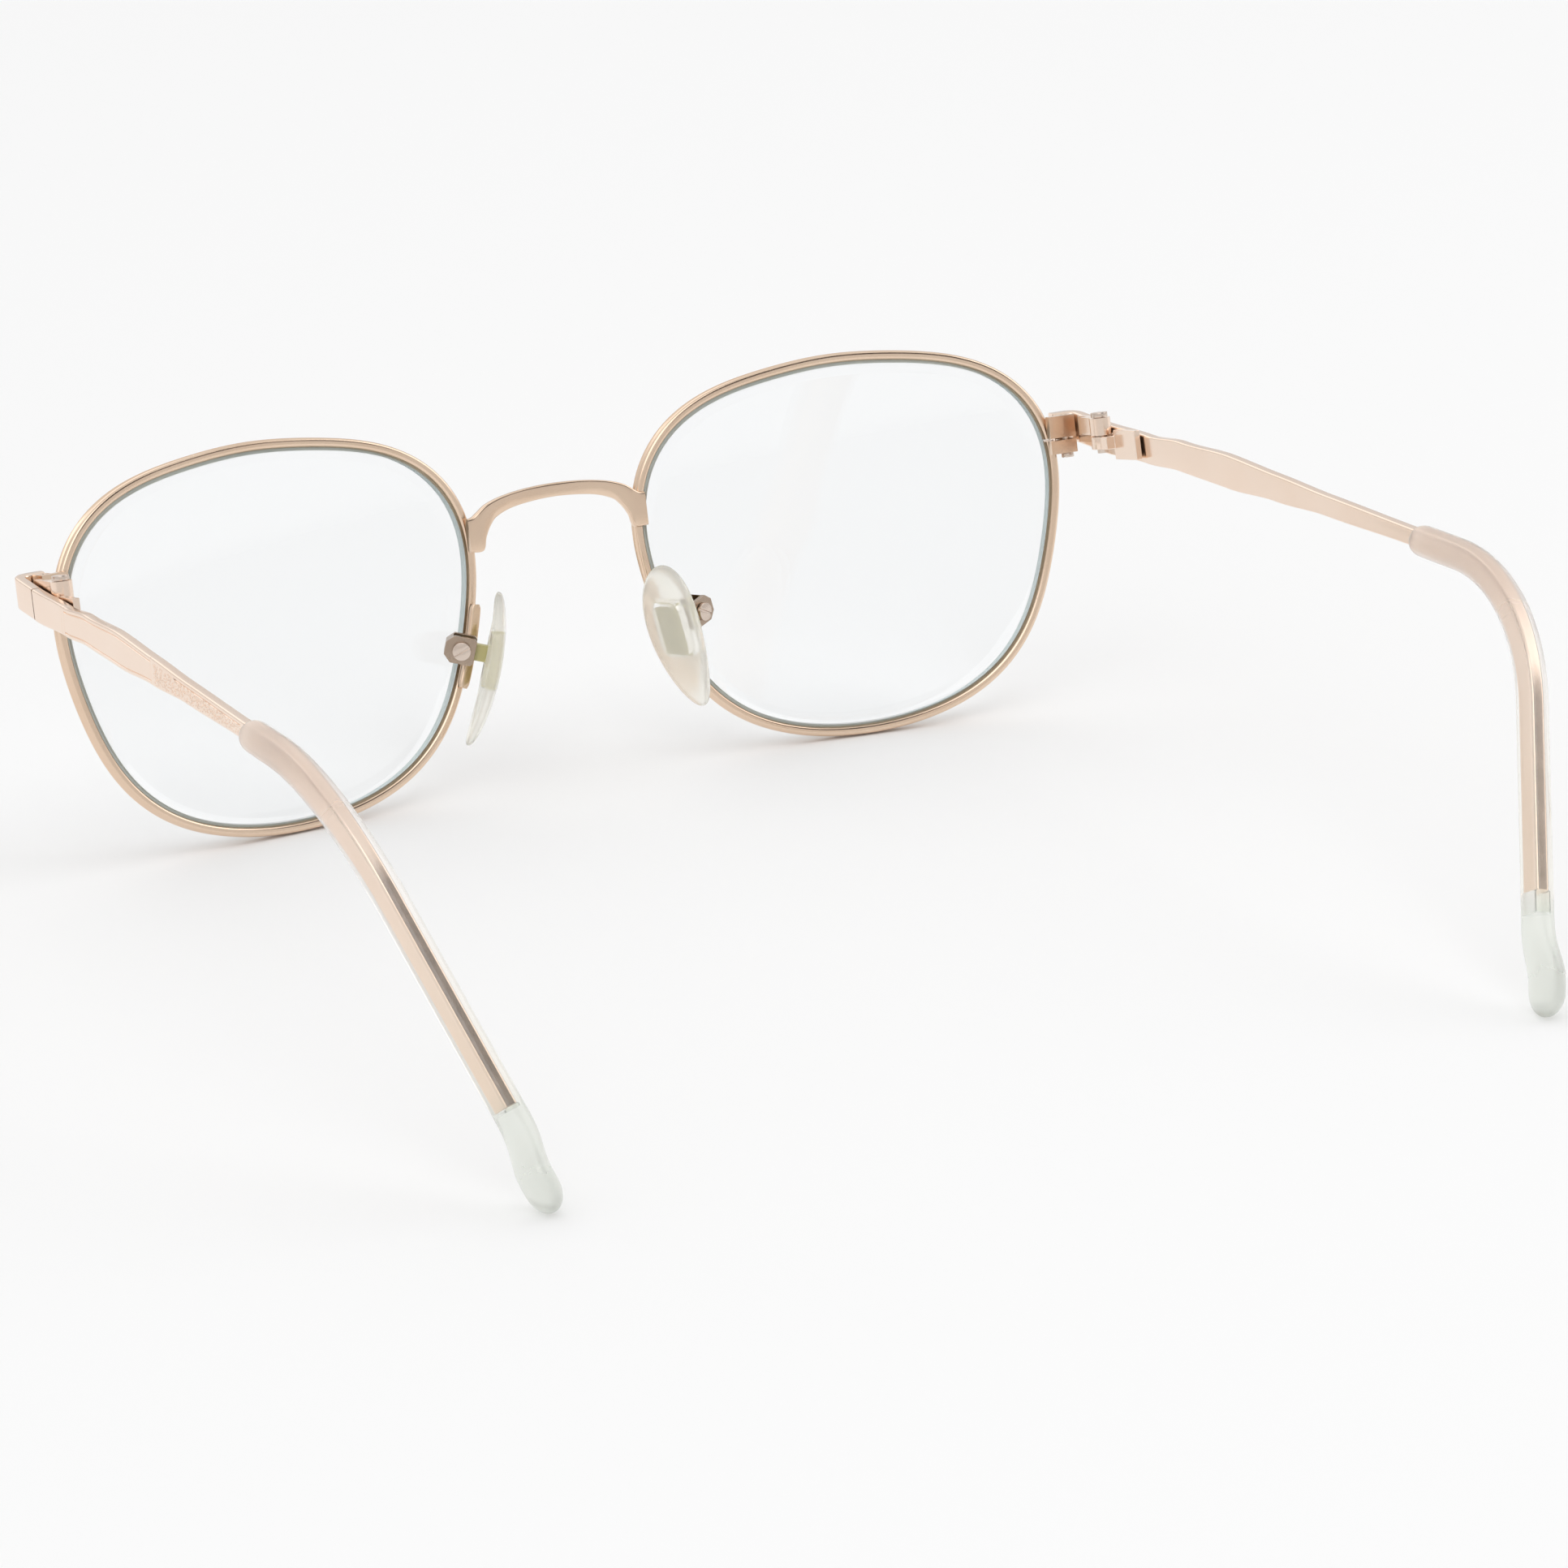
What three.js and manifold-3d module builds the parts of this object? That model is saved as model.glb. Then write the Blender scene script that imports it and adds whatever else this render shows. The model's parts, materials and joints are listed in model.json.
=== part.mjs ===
// Metal-rimmed eyeglasses, open, standing on the lower rims and the temple tips.
// Millimetres, +Z up. The lenses face -Y, the temples run back along +Y, and the wearer's left is +X.
import * as THREE from "three";
import { mergeVertices } from "three/addons/utils/BufferGeometryUtils.js";
import Module from "manifold-3d";

const wasm = await Module();
wasm.setup();

const deg = Math.PI / 180;

// ---- driving dimensions ----

// Where the front stands: its lens centres above the table, and its nasal rim edges behind the middle.
const lensHeight = 20.55;
const frontBack = -59.42;
const frontTilt = 13.85 * deg;

// The front: lens outline half width, clear gap between the two outlines, face wrap and lens curve.
const lensHalfWidth = 25;
const bridgeGap = 21;
const wrap = 5 * deg;
const lensCurveRadius = 130;

// The lens outline is a circle shaped by five even waves, each with its own height.
const outlineWaves = { radius: 23.25, oval: 2.07, pear: 0.96, square: 0.57, shoulder: 0.32, flat: 0.21 };

const rim = { inner: 0.5, outer: 0.58, depth: 0.8, lip: 0.32, groove: 0.05, steps: 56 };
const lens = { halfThickness: 1, edgeInset: 0.8, ridgeInset: 0.4, ridgeHalf: 0.28, segments: 44 };

// The rim closes at the temple side, where two blocks meet on a vertical screw.
const split = { height: 7.8, gap: 0.3 };
const block = {
  inner: 24.3,
  step: 25.8,
  outer: 27.4,
  front: 2.45,
  lipFront: 3.75,
  back: 4.75,
  upper: 2.45,
  lower: 1.5,
};
const closingScrew = { across: 26.55, back: 3.7, shankRadius: 0.4, bore: 0.52, headRadius: 0.7, headTall: 0.45 };
const closingScrewEnd = 0.1;

// The strip corner is the outer top edge where the end piece turns back towards the temple.
const corner = { across: 29.3, back: 1.05, height: 10.6 };
const templeSplay = 7.42 * deg;
const templeDrop = 10.2 * deg;
const strip = { thickness: 1.15, tall: 3.4, cornerRadius: 0.75 };
const endPiece = { legStart: 25.75, jointBack: 6.45 };

// The hinge: its pin stands inside the strip and is parallel to the front.
const pin = { inset: 2.5, back: 9.3, radius: 0.6, bore: 0.68, headRadius: 0.95, endRadius: 0.8 };
const knuckle = { radius: 1.2, top: -0.5, split: -2.5, bottom: -4, play: 0.06 };
const frontLeaf = { start: 3.6, end: 6.3, thickness: 0.75 };
const templeLeaf = { start: 11.3, end: 16, thickness: 0.75 };
const solderGap = 0.25;
const leanEnd = 20;

// The temple strip: distance from the corner, middle height and full height at each station.
const templeStations = [
  { along: 6.75, middle: -1.7, tall: 3.4 },
  { along: 17, middle: -1.2, tall: 3.2 },
  { along: 24, middle: -0.6, tall: 3.35 },
  { along: 34, middle: -0.3, tall: 3.75 },
  { along: 44, middle: -0.1, tall: 3 },
  { along: 54, middle: 0.05, tall: 2.3 },
  { along: 71, middle: 0.15, tall: 1.9 },
];

// Behind the ear the temple bends down and in, and ends in a clear sleeve.
const earBend = { along: 92.5, radius: 22, down: 56.8 * deg, inward: 31.7 * deg };
const bendRows = [80, 84, 88, 92, 96, 100, 104];
const core = { start: 66, tall: 1.9, thickness: 1.2, slimming: 8, tailLeft: 22.4, tailRight: 20.4 };
const sleeve = { start: 71.8, collar: 1.5, tall: 3.4, thick: 3.4, tail: 33.4, channel: 22.8, clearance: 0.22 };
const paddle = { tall: 5.2, thick: 3.3, start: 0.68, cap: 2.6, lean: 0.9 };

// The bridge: an arched plate whose feet lie on the backs of the rims. Half of its outline, from the foot
// along the top to the middle, and from the middle along the underside to the foot.
const bridge = { thickness: 0.95, back: 4.1, bow: 0.6, bowHalf: 9 };
const bridgeTop = [[10.75, 8.8], [10.1, 8.9], [9.4, 9.35], [8.2, 10.1], [6.2, 10.7], [3.4, 11.1], [0, 11.25]];
const bridgeUnder = [[0, 9.75], [4.4, 9.4], [6.9, 8.65], [7.95, 7.75], [8.7, 6.5], [9.2, 5.1], [10.75, 5.1]];

// The nose pads hang from boxes on short arms.
const padPlace = { across: 12.1, back: 7.1, height: -7.4 };
const padTurn = { splay: -24.4 * deg, rake: -4.5 * deg, flare: -18.2 * deg };
const cushion = { halfLength: 8.7, halfWidth: 3.75, taper: 0.24, halfThickness: 1, bow: 0.95, segments: 28 };
const padCore = { height: 1.5, halfLength: 3.1, halfWidth: 1.65, inner: -1.35, outer: -0.4, lugHalf: 0.5 };
const padBox = { pinAcross: 2.75, height: 1.7, inner: 1.25, outer: 4.6, halfWidth: 1.3, halfTall: 1.5 };
const padSlot = { half: 0.78, behindPin: 1.15, cornerCut: 0.8 };
const padScrew = { radius: 0.4, bore: 0.48, headRadius: 1, headTall: 0.45 };
const padWire = { radius: 0.45, rise: 1, lead: 1.1 };
const padFoot = { top: -0.6, bottom: -9.4, wide: 1.1, thick: 0.8 };

// ---- colours ----

const metal = (colour) => new THREE.MeshStandardMaterial({ color: colour, metalness: 1, roughness: 0.25 });
const clear = (colour, opacity) =>
  new THREE.MeshStandardMaterial({ color: colour, roughness: 0.15, transparent: true, opacity });
const roseGold = metal(0xe4bfa2);
const screwMetal = metal(0xb9a08c);
const lensClear = clear(0xeef5f3, 0.25);
const sleeveClear = clear(0xf3f1ea, 0.45);
const siliconeClear = clear(0xf4efdf, 0.6);
const corePlastic = clear(0xc9c08c, 0.8);

// ---- helpers ----

// Moves every vertex of a geometry to place(x, y, z) and keeps its faces pointing out.
function warped(geometry, place) {
  const source = geometry.index ? geometry.toNonIndexed() : geometry;
  const from = source.attributes.position;
  const to = new THREE.BufferGeometry();
  const moved = new Float32Array(from.count * 3);
  for (let i = 0; i < from.count; i++) {
    place(from.getX(i), from.getY(i), from.getZ(i)).toArray(moved, i * 3);
  }
  to.setAttribute("position", new THREE.BufferAttribute(moved, 3));
  return facingOut(mergeVertices(to, 1e-4));
}

function bare(geometry) {
  return geometry.deleteAttribute("normal").deleteAttribute("uv");
}

function facingOut(geometry) {
  const p = geometry.attributes.position;
  const index = geometry.index.array;
  const a = new THREE.Vector3();
  const b = new THREE.Vector3();
  const c = new THREE.Vector3();
  let volume = 0;
  for (let i = 0; i < index.length; i += 3) {
    a.fromBufferAttribute(p, index[i]);
    b.fromBufferAttribute(p, index[i + 1]);
    c.fromBufferAttribute(p, index[i + 2]);
    volume += a.dot(b.cross(c));
  }
  if (volume < 0) {
    for (let i = 0; i < index.length; i += 3) {
      [index[i + 1], index[i + 2]] = [index[i + 2], index[i + 1]];
    }
  }
  return geometry;
}

// A section drawn in x and y, carried along z from 0 to 1 by place.
function swept(section, steps, place) {
  return warped(new THREE.ExtrudeGeometry(section, { depth: 1, steps, bevelEnabled: false }), place);
}

function polygon(points) {
  return new THREE.Shape(points.map(([x, y]) => new THREE.Vector2(x, y)));
}

const squareSection = polygon([[-0.5, -0.5], [0.5, -0.5], [0.5, 0.5], [-0.5, 0.5]]);

function roundSection(sides, radius = 1) {
  const points = [];
  for (let i = 0; i < sides; i++) {
    const turn = (2 * Math.PI * (i + 0.5)) / sides;
    points.push([radius * Math.cos(turn), radius * Math.sin(turn)]);
  }
  return polygon(points);
}

// A solid of revolution about +Z from [radius, height] pairs that start and end on the axis.
function turned(profile, segments = 16) {
  const points = profile.map(([radius, height]) => new THREE.Vector2(radius, height));
  return warped(new THREE.LatheGeometry(points, segments), (x, y, z) => new THREE.Vector3(x, -z, y));
}

function rod(radius, bottom, top, segments = 16) {
  return turned([[0, bottom], [radius, bottom], [radius, top], [0, top]], segments);
}

function slab(x0, x1, y0, y1, z0, z1) {
  const box = new THREE.BoxGeometry(x1 - x0, y1 - y0, z1 - z0);
  const middle = new THREE.Vector3((x0 + x1) / 2, (y0 + y1) / 2, (z0 + z1) / 2);
  return warped(box, (x, y, z) => new THREE.Vector3(x, y, z).add(middle));
}

function moved(geometry, x, y, z) {
  return geometry.clone().translate(x, y, z);
}

function toSolid(geometry) {
  const vertProperties = new Float32Array(geometry.attributes.position.array);
  const triVerts = new Uint32Array(geometry.index.array);
  return new wasm.Manifold(new wasm.Mesh({ numProp: 3, vertProperties, triVerts }));
}

function toGeometry(solid) {
  const mesh = solid.getMesh();
  const geometry = new THREE.BufferGeometry();
  geometry.setAttribute("position", new THREE.BufferAttribute(mesh.vertProperties, 3));
  geometry.setIndex(new THREE.BufferAttribute(mesh.triVerts, 1));
  return geometry;
}

const joined = (...parts) => toGeometry(parts.map(toSolid).reduce((a, b) => a.add(b)));
const cut = (body, ...tools) => toGeometry(tools.map(toSolid).reduce((a, b) => a.subtract(b), toSolid(body)));

function piece(name, geometry, material) {
  const mesh = new THREE.Mesh(geometry, material);
  mesh.name = name;
  return mesh;
}

// ---- the lens outline and the curved face ----

// A point of the outline at an angle from the temple side, pushed out along its normal by offset.
function outlinePoint(angle, offset = 0) {
  const at = (turn) => {
    const w = outlineWaves;
    const radius =
      w.radius +
      w.oval * Math.cos(2 * turn) +
      w.pear * Math.sin(3 * turn) -
      w.square * Math.cos(4 * turn) +
      w.shoulder * Math.sin(5 * turn) -
      w.flat * Math.cos(6 * turn);
    return new THREE.Vector2(Math.cos(turn), Math.sin(turn)).multiplyScalar(radius);
  };
  const nudge = 1e-3;
  const along = at(angle + nudge).sub(at(angle - nudge)).normalize();
  return at(angle).add(new THREE.Vector2(along.y, -along.x).multiplyScalar(offset));
}

const sag = (across, height) => (across * across + height * height) / (2 * lensCurveRadius);

function facePoint(across, height, depth) {
  return new THREE.Vector3(across, depth + sag(across, height), height);
}

function outlineAngleAt(height) {
  let low = 0;
  let high = 60 * deg;
  for (let i = 0; i < 40; i++) {
    const middle = (low + high) / 2;
    if (outlinePoint(middle).y < height) low = middle;
    else high = middle;
  }
  return low;
}

// ---- pieces of one half of the front, in the lens frame ----

function rimGeometry() {
  const { inner, outer, depth, lip, groove } = rim;
  const section = polygon([
    [outer, -depth * 0.6],
    [outer, depth * 0.6],
    [outer - 0.2, depth],
    [-inner, depth],
    [-inner, lip],
    [groove, 0],
    [-inner, -lip],
    [-inner, -depth],
    [outer - 0.2, -depth],
  ]);
  const start = outlineAngleAt(split.height + split.gap / 2);
  const end = outlineAngleAt(split.height - split.gap / 2) + 2 * Math.PI;
  return swept(section, rim.steps, (offset, back, t) => {
    const p = outlinePoint(start + (end - start) * t, offset);
    return facePoint(p.x, p.y, back);
  });
}

function lensGeometry() {
  const ridge = 1 + (lens.edgeInset - lens.ridgeInset) / outlineWaves.radius;
  const half = lens.halfThickness;
  const profile = [
    [0, -half],
    [0.5, -half],
    [1, -half],
    [1, -lens.ridgeHalf],
    [ridge, 0],
    [1, lens.ridgeHalf],
    [1, half],
    [0.5, half],
    [0, half],
  ];
  return warped(turned(profile, lens.segments), (x, y, z) => {
    const share = Math.hypot(x, y);
    const edge = outlinePoint(Math.atan2(y, x), -lens.edgeInset).multiplyScalar(share);
    return facePoint(edge.x, edge.y, z);
  });
}

// One half of the closing block, above (+1) or below (-1) the split.
function blockGeometry(side) {
  const near = split.height + (side * split.gap) / 2;
  const far = near + (side > 0 ? block.upper : -block.lower);
  const [low, high] = side > 0 ? [near, far] : [far, near];
  const body = joined(
    slab(block.step, block.outer, block.front, block.back, low, high),
    slab(block.inner, block.step + 0.2, block.lipFront, block.back, low, high),
  );
  const bore = moved(rod(closingScrew.bore, low - 1, high + 1), closingScrew.across, closingScrew.back, 0);
  return cut(body, bore);
}

// The screw goes up from below, and its head shows under the lower block.
function closingScrewGeometry() {
  const { shankRadius, headRadius, headTall } = closingScrew;
  const top = split.height + split.gap / 2 + block.upper - closingScrewEnd;
  const seat = split.height - split.gap / 2 - block.lower - closingScrewEnd;
  const profile = [
    [0, seat - headTall],
    [headRadius * 0.6, seat - headTall],
    [headRadius, seat - headTall * 0.5],
    [headRadius, seat],
    [shankRadius, seat],
    [shankRadius, top],
    [0, top],
  ];
  return moved(turned(profile, 14), closingScrew.across, closingScrew.back, 0);
}

// ---- pieces of the end of the front, in the end frame: the corner is the origin, +Y runs back ----

// The bent strip from the closing block round the corner to the butt joint.
function endPieceGeometry() {
  const half = strip.thickness / 2;
  const turn = Math.PI / 2 - templeSplay;
  const radius = strip.cornerRadius + half;
  const tangent = radius * Math.tan(turn / 2);
  const legDirection = new THREE.Vector2(-Math.cos(templeSplay), -Math.sin(templeSplay));
  const corner2 = cornerMiddle(half);
  const legLength = corner.across - half - endPiece.legStart;
  const path = new THREE.CurvePath();
  const legEnd = corner2.clone().addScaledVector(legDirection, legLength);
  const bendIn = corner2.clone().addScaledVector(legDirection, tangent);
  const bendOut = new THREE.Vector2(corner2.x, corner2.y + tangent);
  const joint = new THREE.Vector2(corner2.x, endPiece.jointBack);
  path.add(new THREE.LineCurve(legEnd, bendIn));
  path.add(new THREE.QuadraticBezierCurve(bendIn, corner2, bendOut));
  path.add(new THREE.LineCurve(bendOut, joint));
  const steps = 14;
  const section = polygon([[-half, 0], [half, 0], [half, -strip.tall], [-half, -strip.tall]]);
  return swept(section, steps, (side, height, t) => {
    const at = path.getPointAt(t);
    const way = path.getTangentAt(t);
    const x = at.x + way.y * side;
    const y = at.y - way.x * side;
    return new THREE.Vector3(x, y, height - Math.max(y, 0) * Math.tan(templeDrop));
  });
}

// The middle line's own corner, for a strip whose outer corner is the origin.
function cornerMiddle(half) {
  return new THREE.Vector2(-half, (half * (1 - Math.sin(templeSplay))) / Math.cos(templeSplay));
}

// A knuckle barrel on the pin, from bottom to top.
function barrel(bottom, top) {
  return moved(rod(knuckle.radius, bottom, top, 20), -pin.inset, pin.back, 0);
}

const pinBore = () => moved(rod(pin.bore, knuckle.bottom - 2, knuckle.top + 2, 20), -pin.inset, pin.back, 0);

function frontHingeGeometry() {
  const inner = -strip.thickness - solderGap;
  const leafTop = knuckle.top;
  const leafBottom = leafTop - strip.tall + 0.5;
  const leaf = slab(inner - frontLeaf.thickness, inner, frontLeaf.start, frontLeaf.end, leafBottom, leafTop);
  const bottom = knuckle.split + knuckle.play;
  const web = slab(-pin.inset - 0.55, inner, frontLeaf.end - 0.4, pin.back, bottom, knuckle.top);
  return cut(joined(leaf, web, barrel(bottom, knuckle.top)), pinBore());
}

function hingeScrewGeometry() {
  const top = knuckle.top + 0.08;
  const bottom = knuckle.bottom - 0.08;
  const profile = [
    [0, bottom - 0.6],
    [pin.endRadius * 0.6, bottom - 0.6],
    [pin.endRadius, bottom - 0.3],
    [pin.endRadius, bottom],
    [pin.radius, bottom],
    [pin.radius, top],
    [pin.headRadius, top],
    [pin.headRadius, top + 0.3],
    [pin.headRadius * 0.6, top + 0.55],
    [0, top + 0.55],
  ];
  return moved(turned(profile, 20), -pin.inset, pin.back, 0);
}

function templeHingeGeometry() {
  const inner = -strip.thickness - solderGap;
  const drop = templeLeaf.start * Math.tan(templeDrop);
  const leafTop = -drop + 0.1;
  const leafBottom = leafTop - strip.tall + 0.1;
  const leaf = slab(inner - templeLeaf.thickness, inner, templeLeaf.start, templeLeaf.end, leafBottom, leafTop);
  const top = knuckle.split - knuckle.play;
  const web = slab(-pin.inset - 0.75, inner, pin.back, templeLeaf.start + 0.3, knuckle.bottom, top);
  return cut(joined(leaf, web, barrel(knuckle.bottom, top)), pinBore());
}

// ---- pieces of the temple, in the temple frame: +Y runs along the strip, its outer face is at x = 0 ----

const smooth = (t) => t * t * (3 - 2 * t);

// Middle height and full height of the strip at a distance from the corner.
function templeStation(along) {
  const last = templeStations.length - 1;
  if (along >= templeStations[last].along) {
    const t = Math.min((along - templeStations[last].along) / 6, 1);
    const tall = THREE.MathUtils.lerp(templeStations[last].tall, core.tall, smooth(t));
    return { middle: templeStations[last].middle, tall };
  }
  const i = Math.max(templeStations.findIndex((s) => s.along > along) - 1, 0);
  const a = templeStations[i];
  const b = templeStations[i + 1];
  const t = smooth((along - a.along) / (b.along - a.along));
  return { middle: THREE.MathUtils.lerp(a.middle, b.middle, t), tall: THREE.MathUtils.lerp(a.tall, b.tall, t) };
}

const tailDirection = new THREE.Vector3(
  -Math.sin(earBend.inward) * Math.cos(earBend.down),
  Math.cos(earBend.inward) * Math.cos(earBend.down),
  -Math.sin(earBend.down),
);

// The temple's middle line: straight, round the ear bend, then straight down the tail.
function templeLine(along) {
  const straight = new THREE.Vector3(0, 1, 0);
  const turn = straight.angleTo(tailDirection);
  const tangent = earBend.radius * Math.tan(turn / 2);
  const bendLength = earBend.radius * turn;
  const bendStart = earBend.along - tangent;
  const x = -strip.thickness / 2;
  if (along <= bendStart) {
    return { at: new THREE.Vector3(x, along, 0), way: straight };
  }
  const across = tailDirection.clone().addScaledVector(straight, -Math.cos(turn)).normalize();
  const angle = Math.min((along - bendStart) / earBend.radius, turn);
  const at = new THREE.Vector3(x, bendStart, 0)
    .addScaledVector(straight, earBend.radius * Math.sin(angle))
    .addScaledVector(across, earBend.radius * (1 - Math.cos(angle)));
  const way = straight.clone().multiplyScalar(Math.cos(angle)).addScaledVector(across, Math.sin(angle));
  const rest = along - bendStart - bendLength;
  if (rest > 0) at.addScaledVector(tailDirection, rest);
  return { at, way };
}

// The tail's start on the middle line, measured from the corner.
const bendTurn = new THREE.Vector3(0, 1, 0).angleTo(tailDirection);
const tailStart = earBend.along - earBend.radius * Math.tan(bendTurn / 2) + earBend.radius * bendTurn;

// A point beside the middle line: side is outward, rise is square to the line in the temple's own plane.
function besideLine(along, side, rise) {
  const { at, way } = templeLine(along);
  const outward = new THREE.Vector3(1, 0, 0).addScaledVector(way, -way.x).normalize();
  const up = outward.clone().cross(way);
  return at.addScaledVector(outward, side).addScaledVector(up, rise);
}

// The butt face is square to the front strip, so the first rows lean and the lean dies out by leanEnd.
function buttLean(along, height) {
  const share = THREE.MathUtils.clamp((leanEnd - along) / (leanEnd - templeStations[0].along), 0, 1);
  return height * Math.tan(templeDrop) * share;
}

function templeGeometry(tailLength) {
  const stops = templeStations.map((station) => station.along);
  const rows = evenRows([...stops, 77, ...bendRows, tailStart + tailLength]);
  return sweptRows(squareSection, rows, (side, rise, along) => {
    const { middle, tall } = templeStation(along);
    const slim = smooth(THREE.MathUtils.clamp((along - core.start) / core.slimming, 0, 1));
    const thickness = THREE.MathUtils.lerp(strip.thickness, core.thickness, slim);
    const height = middle + rise * tall;
    return besideLine(along - buttLean(along, height), side * thickness, height);
  });
}

// Splits the widest stretches so that curved runs stay smooth.
function evenRows(stops, widest = 5) {
  const rows = [stops[0]];
  for (let i = 1; i < stops.length; i++) {
    const count = i === 1 ? 1 : Math.ceil((stops[i] - stops[i - 1]) / widest);
    for (let k = 1; k <= count; k++) rows.push(stops[i - 1] + ((stops[i] - stops[i - 1]) * k) / count);
  }
  return rows;
}

// As swept, with a row of the section at each listed distance.
function sweptRows(section, rows, place) {
  return swept(section, rows.length - 1, (x, y, t) => place(x, y, rows[Math.round(t * (rows.length - 1))]));
}

// Half height, half thickness and outward lean of the sleeve at a distance along the temple.
function sleeveSize(along) {
  const end = tailStart + sleeve.tail;
  const paddleStart = tailStart + sleeve.tail * paddle.start;
  const grow = smooth(THREE.MathUtils.clamp((along - paddleStart) / (end - 4 - paddleStart), 0, 1));
  const collar = THREE.MathUtils.clamp((along - sleeve.start) / sleeve.collar, 0, 1);
  const intoCap = Math.max(along - (end - paddle.cap), 0) / (paddle.cap + 0.02);
  const cap = Math.sqrt(Math.max(1 - intoCap ** 2, 0.02));
  const scale = (THREE.MathUtils.lerp(0.88, 1, collar) * cap) / 2;
  return {
    tall: THREE.MathUtils.lerp(sleeve.tall, paddle.tall, grow) * scale,
    thick: THREE.MathUtils.lerp(sleeve.thick, paddle.thick, grow) * scale,
    lean: paddle.lean * grow * grow,
  };
}

function sleeveGeometry() {
  const end = tailStart + sleeve.tail;
  const rows = evenRows([sleeve.start, sleeve.start + sleeve.collar, ...bendRows, end - paddle.cap], 4.5);
  rows.push(end - 1.6, end - 0.7, end);
  const body = sweptRows(roundSection(10), rows, (side, rise, along) => {
    const { tall, thick, lean } = sleeveSize(along);
    return besideLine(along, side * thick + lean, rise * tall);
  });
  const channelRows = evenRows([sleeve.start - 1, 77, ...bendRows, tailStart + sleeve.channel]);
  const channel = sweptRows(squareSection, channelRows, (side, rise, along) => {
    const { middle, tall } = templeStation(along);
    const thickness = strip.thickness + 2 * sleeve.clearance;
    return besideLine(along, side * thickness, middle + rise * (tall + 2 * sleeve.clearance));
  });
  return cut(body, channel);
}

// ---- the bridge, in the front frame ----

function bridgeGeometry() {
  const otherHalf = (points) => points.map(([x, z]) => [-x, z]).reverse();
  const top = [...bridgeTop, ...otherHalf(bridgeTop).slice(1)];
  const under = [...otherHalf(bridgeUnder).slice(0, -1), ...bridgeUnder];
  return swept(polygon([...top, ...under]), 1, (x, z, t) => {
    const bow = bridge.bow * (1 - Math.min(Math.abs(x) / bridge.bowHalf, 1) ** 2);
    return new THREE.Vector3(x, bridge.back - bridge.thickness / 2 + bridge.thickness * t - bow, z);
  });
}

// ---- the nose pad, in the pad frame: +X faces the lens, +Y runs back, +Z up its length ----

function cushionGeometry() {
  const { halfLength, halfWidth, taper, halfThickness, bow } = cushion;
  const profile = [
    [0, -halfThickness],
    [0.6, -halfThickness * 0.9],
    [0.93, -halfThickness * 0.5],
    [1, 0],
    [0.93, halfThickness * 0.5],
    [0.6, halfThickness * 0.85],
    [0, halfThickness * 0.9],
  ];
  const body = warped(turned(profile, cushion.segments), (x, y, z) => {
    const share = Math.hypot(x, y);
    const turn = Math.atan2(y, x);
    const width = halfWidth * Math.cos(turn) * (1 + taper * Math.sin(turn));
    const height = share * halfLength * Math.sin(turn);
    return new THREE.Vector3(z - bow * (1 - (height / halfLength) ** 2), share * width, height);
  });
  const pocket = slab(
    padCore.inner - solderGap,
    halfThickness * 2,
    -padCore.halfWidth - solderGap,
    padCore.halfWidth + solderGap,
    padCore.height - padCore.halfLength - solderGap,
    padCore.height + padCore.halfLength + solderGap,
  );
  return cut(body, pocket);
}

function padCoreGeometry() {
  const { inner, outer, halfWidth, halfLength, height, lugHalf } = padCore;
  const plate = slab(inner, outer, -halfWidth, halfWidth, height - halfLength, height + halfLength);
  const lug = slab(outer - 0.2, padBox.pinAcross, -lugHalf, lugHalf, padBox.height - 0.9, padBox.height + 0.9);
  const eye = crossPin(0.9, lugHalf, padBox.height);
  return cut(joined(plate, lug, eye), crossPin(padScrew.bore, 2, padBox.height));
}

// A round bar across the pad, centred on the pad screw.
function crossPin(radius, halfLength, height) {
  const bar = rod(radius, -halfLength, halfLength, 16);
  return warped(bar, (x, y, z) => new THREE.Vector3(padBox.pinAcross + x, z, height + y));
}

function padBoxGeometry() {
  const { inner, outer, halfWidth, halfTall, height } = padBox;
  const bevel = padSlot.cornerCut;
  const outline = polygon([
    [inner, height - halfTall + 0.3],
    [inner + 0.3, height - halfTall],
    [outer - bevel, height - halfTall],
    [outer, height - halfTall + bevel],
    [outer, height + halfTall - bevel],
    [outer - bevel, height + halfTall],
    [inner + 0.3, height + halfTall],
    [inner, height + halfTall - 0.3],
  ]);
  const body = swept(outline, 1, (x, z, t) => new THREE.Vector3(x, (2 * t - 1) * halfWidth, z));
  const slotEnd = padBox.pinAcross + padSlot.behindPin;
  const slot = slab(inner - 1, slotEnd, -padSlot.half, padSlot.half, height - 3, height + 3);
  return cut(body, slot, crossPin(padScrew.bore, 2, height));
}

function padScrewGeometry() {
  const { radius, headRadius, headTall } = padScrew;
  const head = padBox.halfWidth + 0.08;
  const profile = [
    [0, 0.3 - padBox.halfWidth],
    [radius, 0.3 - padBox.halfWidth],
    [radius, head],
    [headRadius, head],
    [headRadius, head + headTall * 0.6],
    [headRadius * 0.7, head + headTall],
    [0, head + headTall],
  ];
  return warped(turned(profile, 16), (x, y, z) => new THREE.Vector3(padBox.pinAcross + x, z, padBox.height + y));
}

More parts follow.
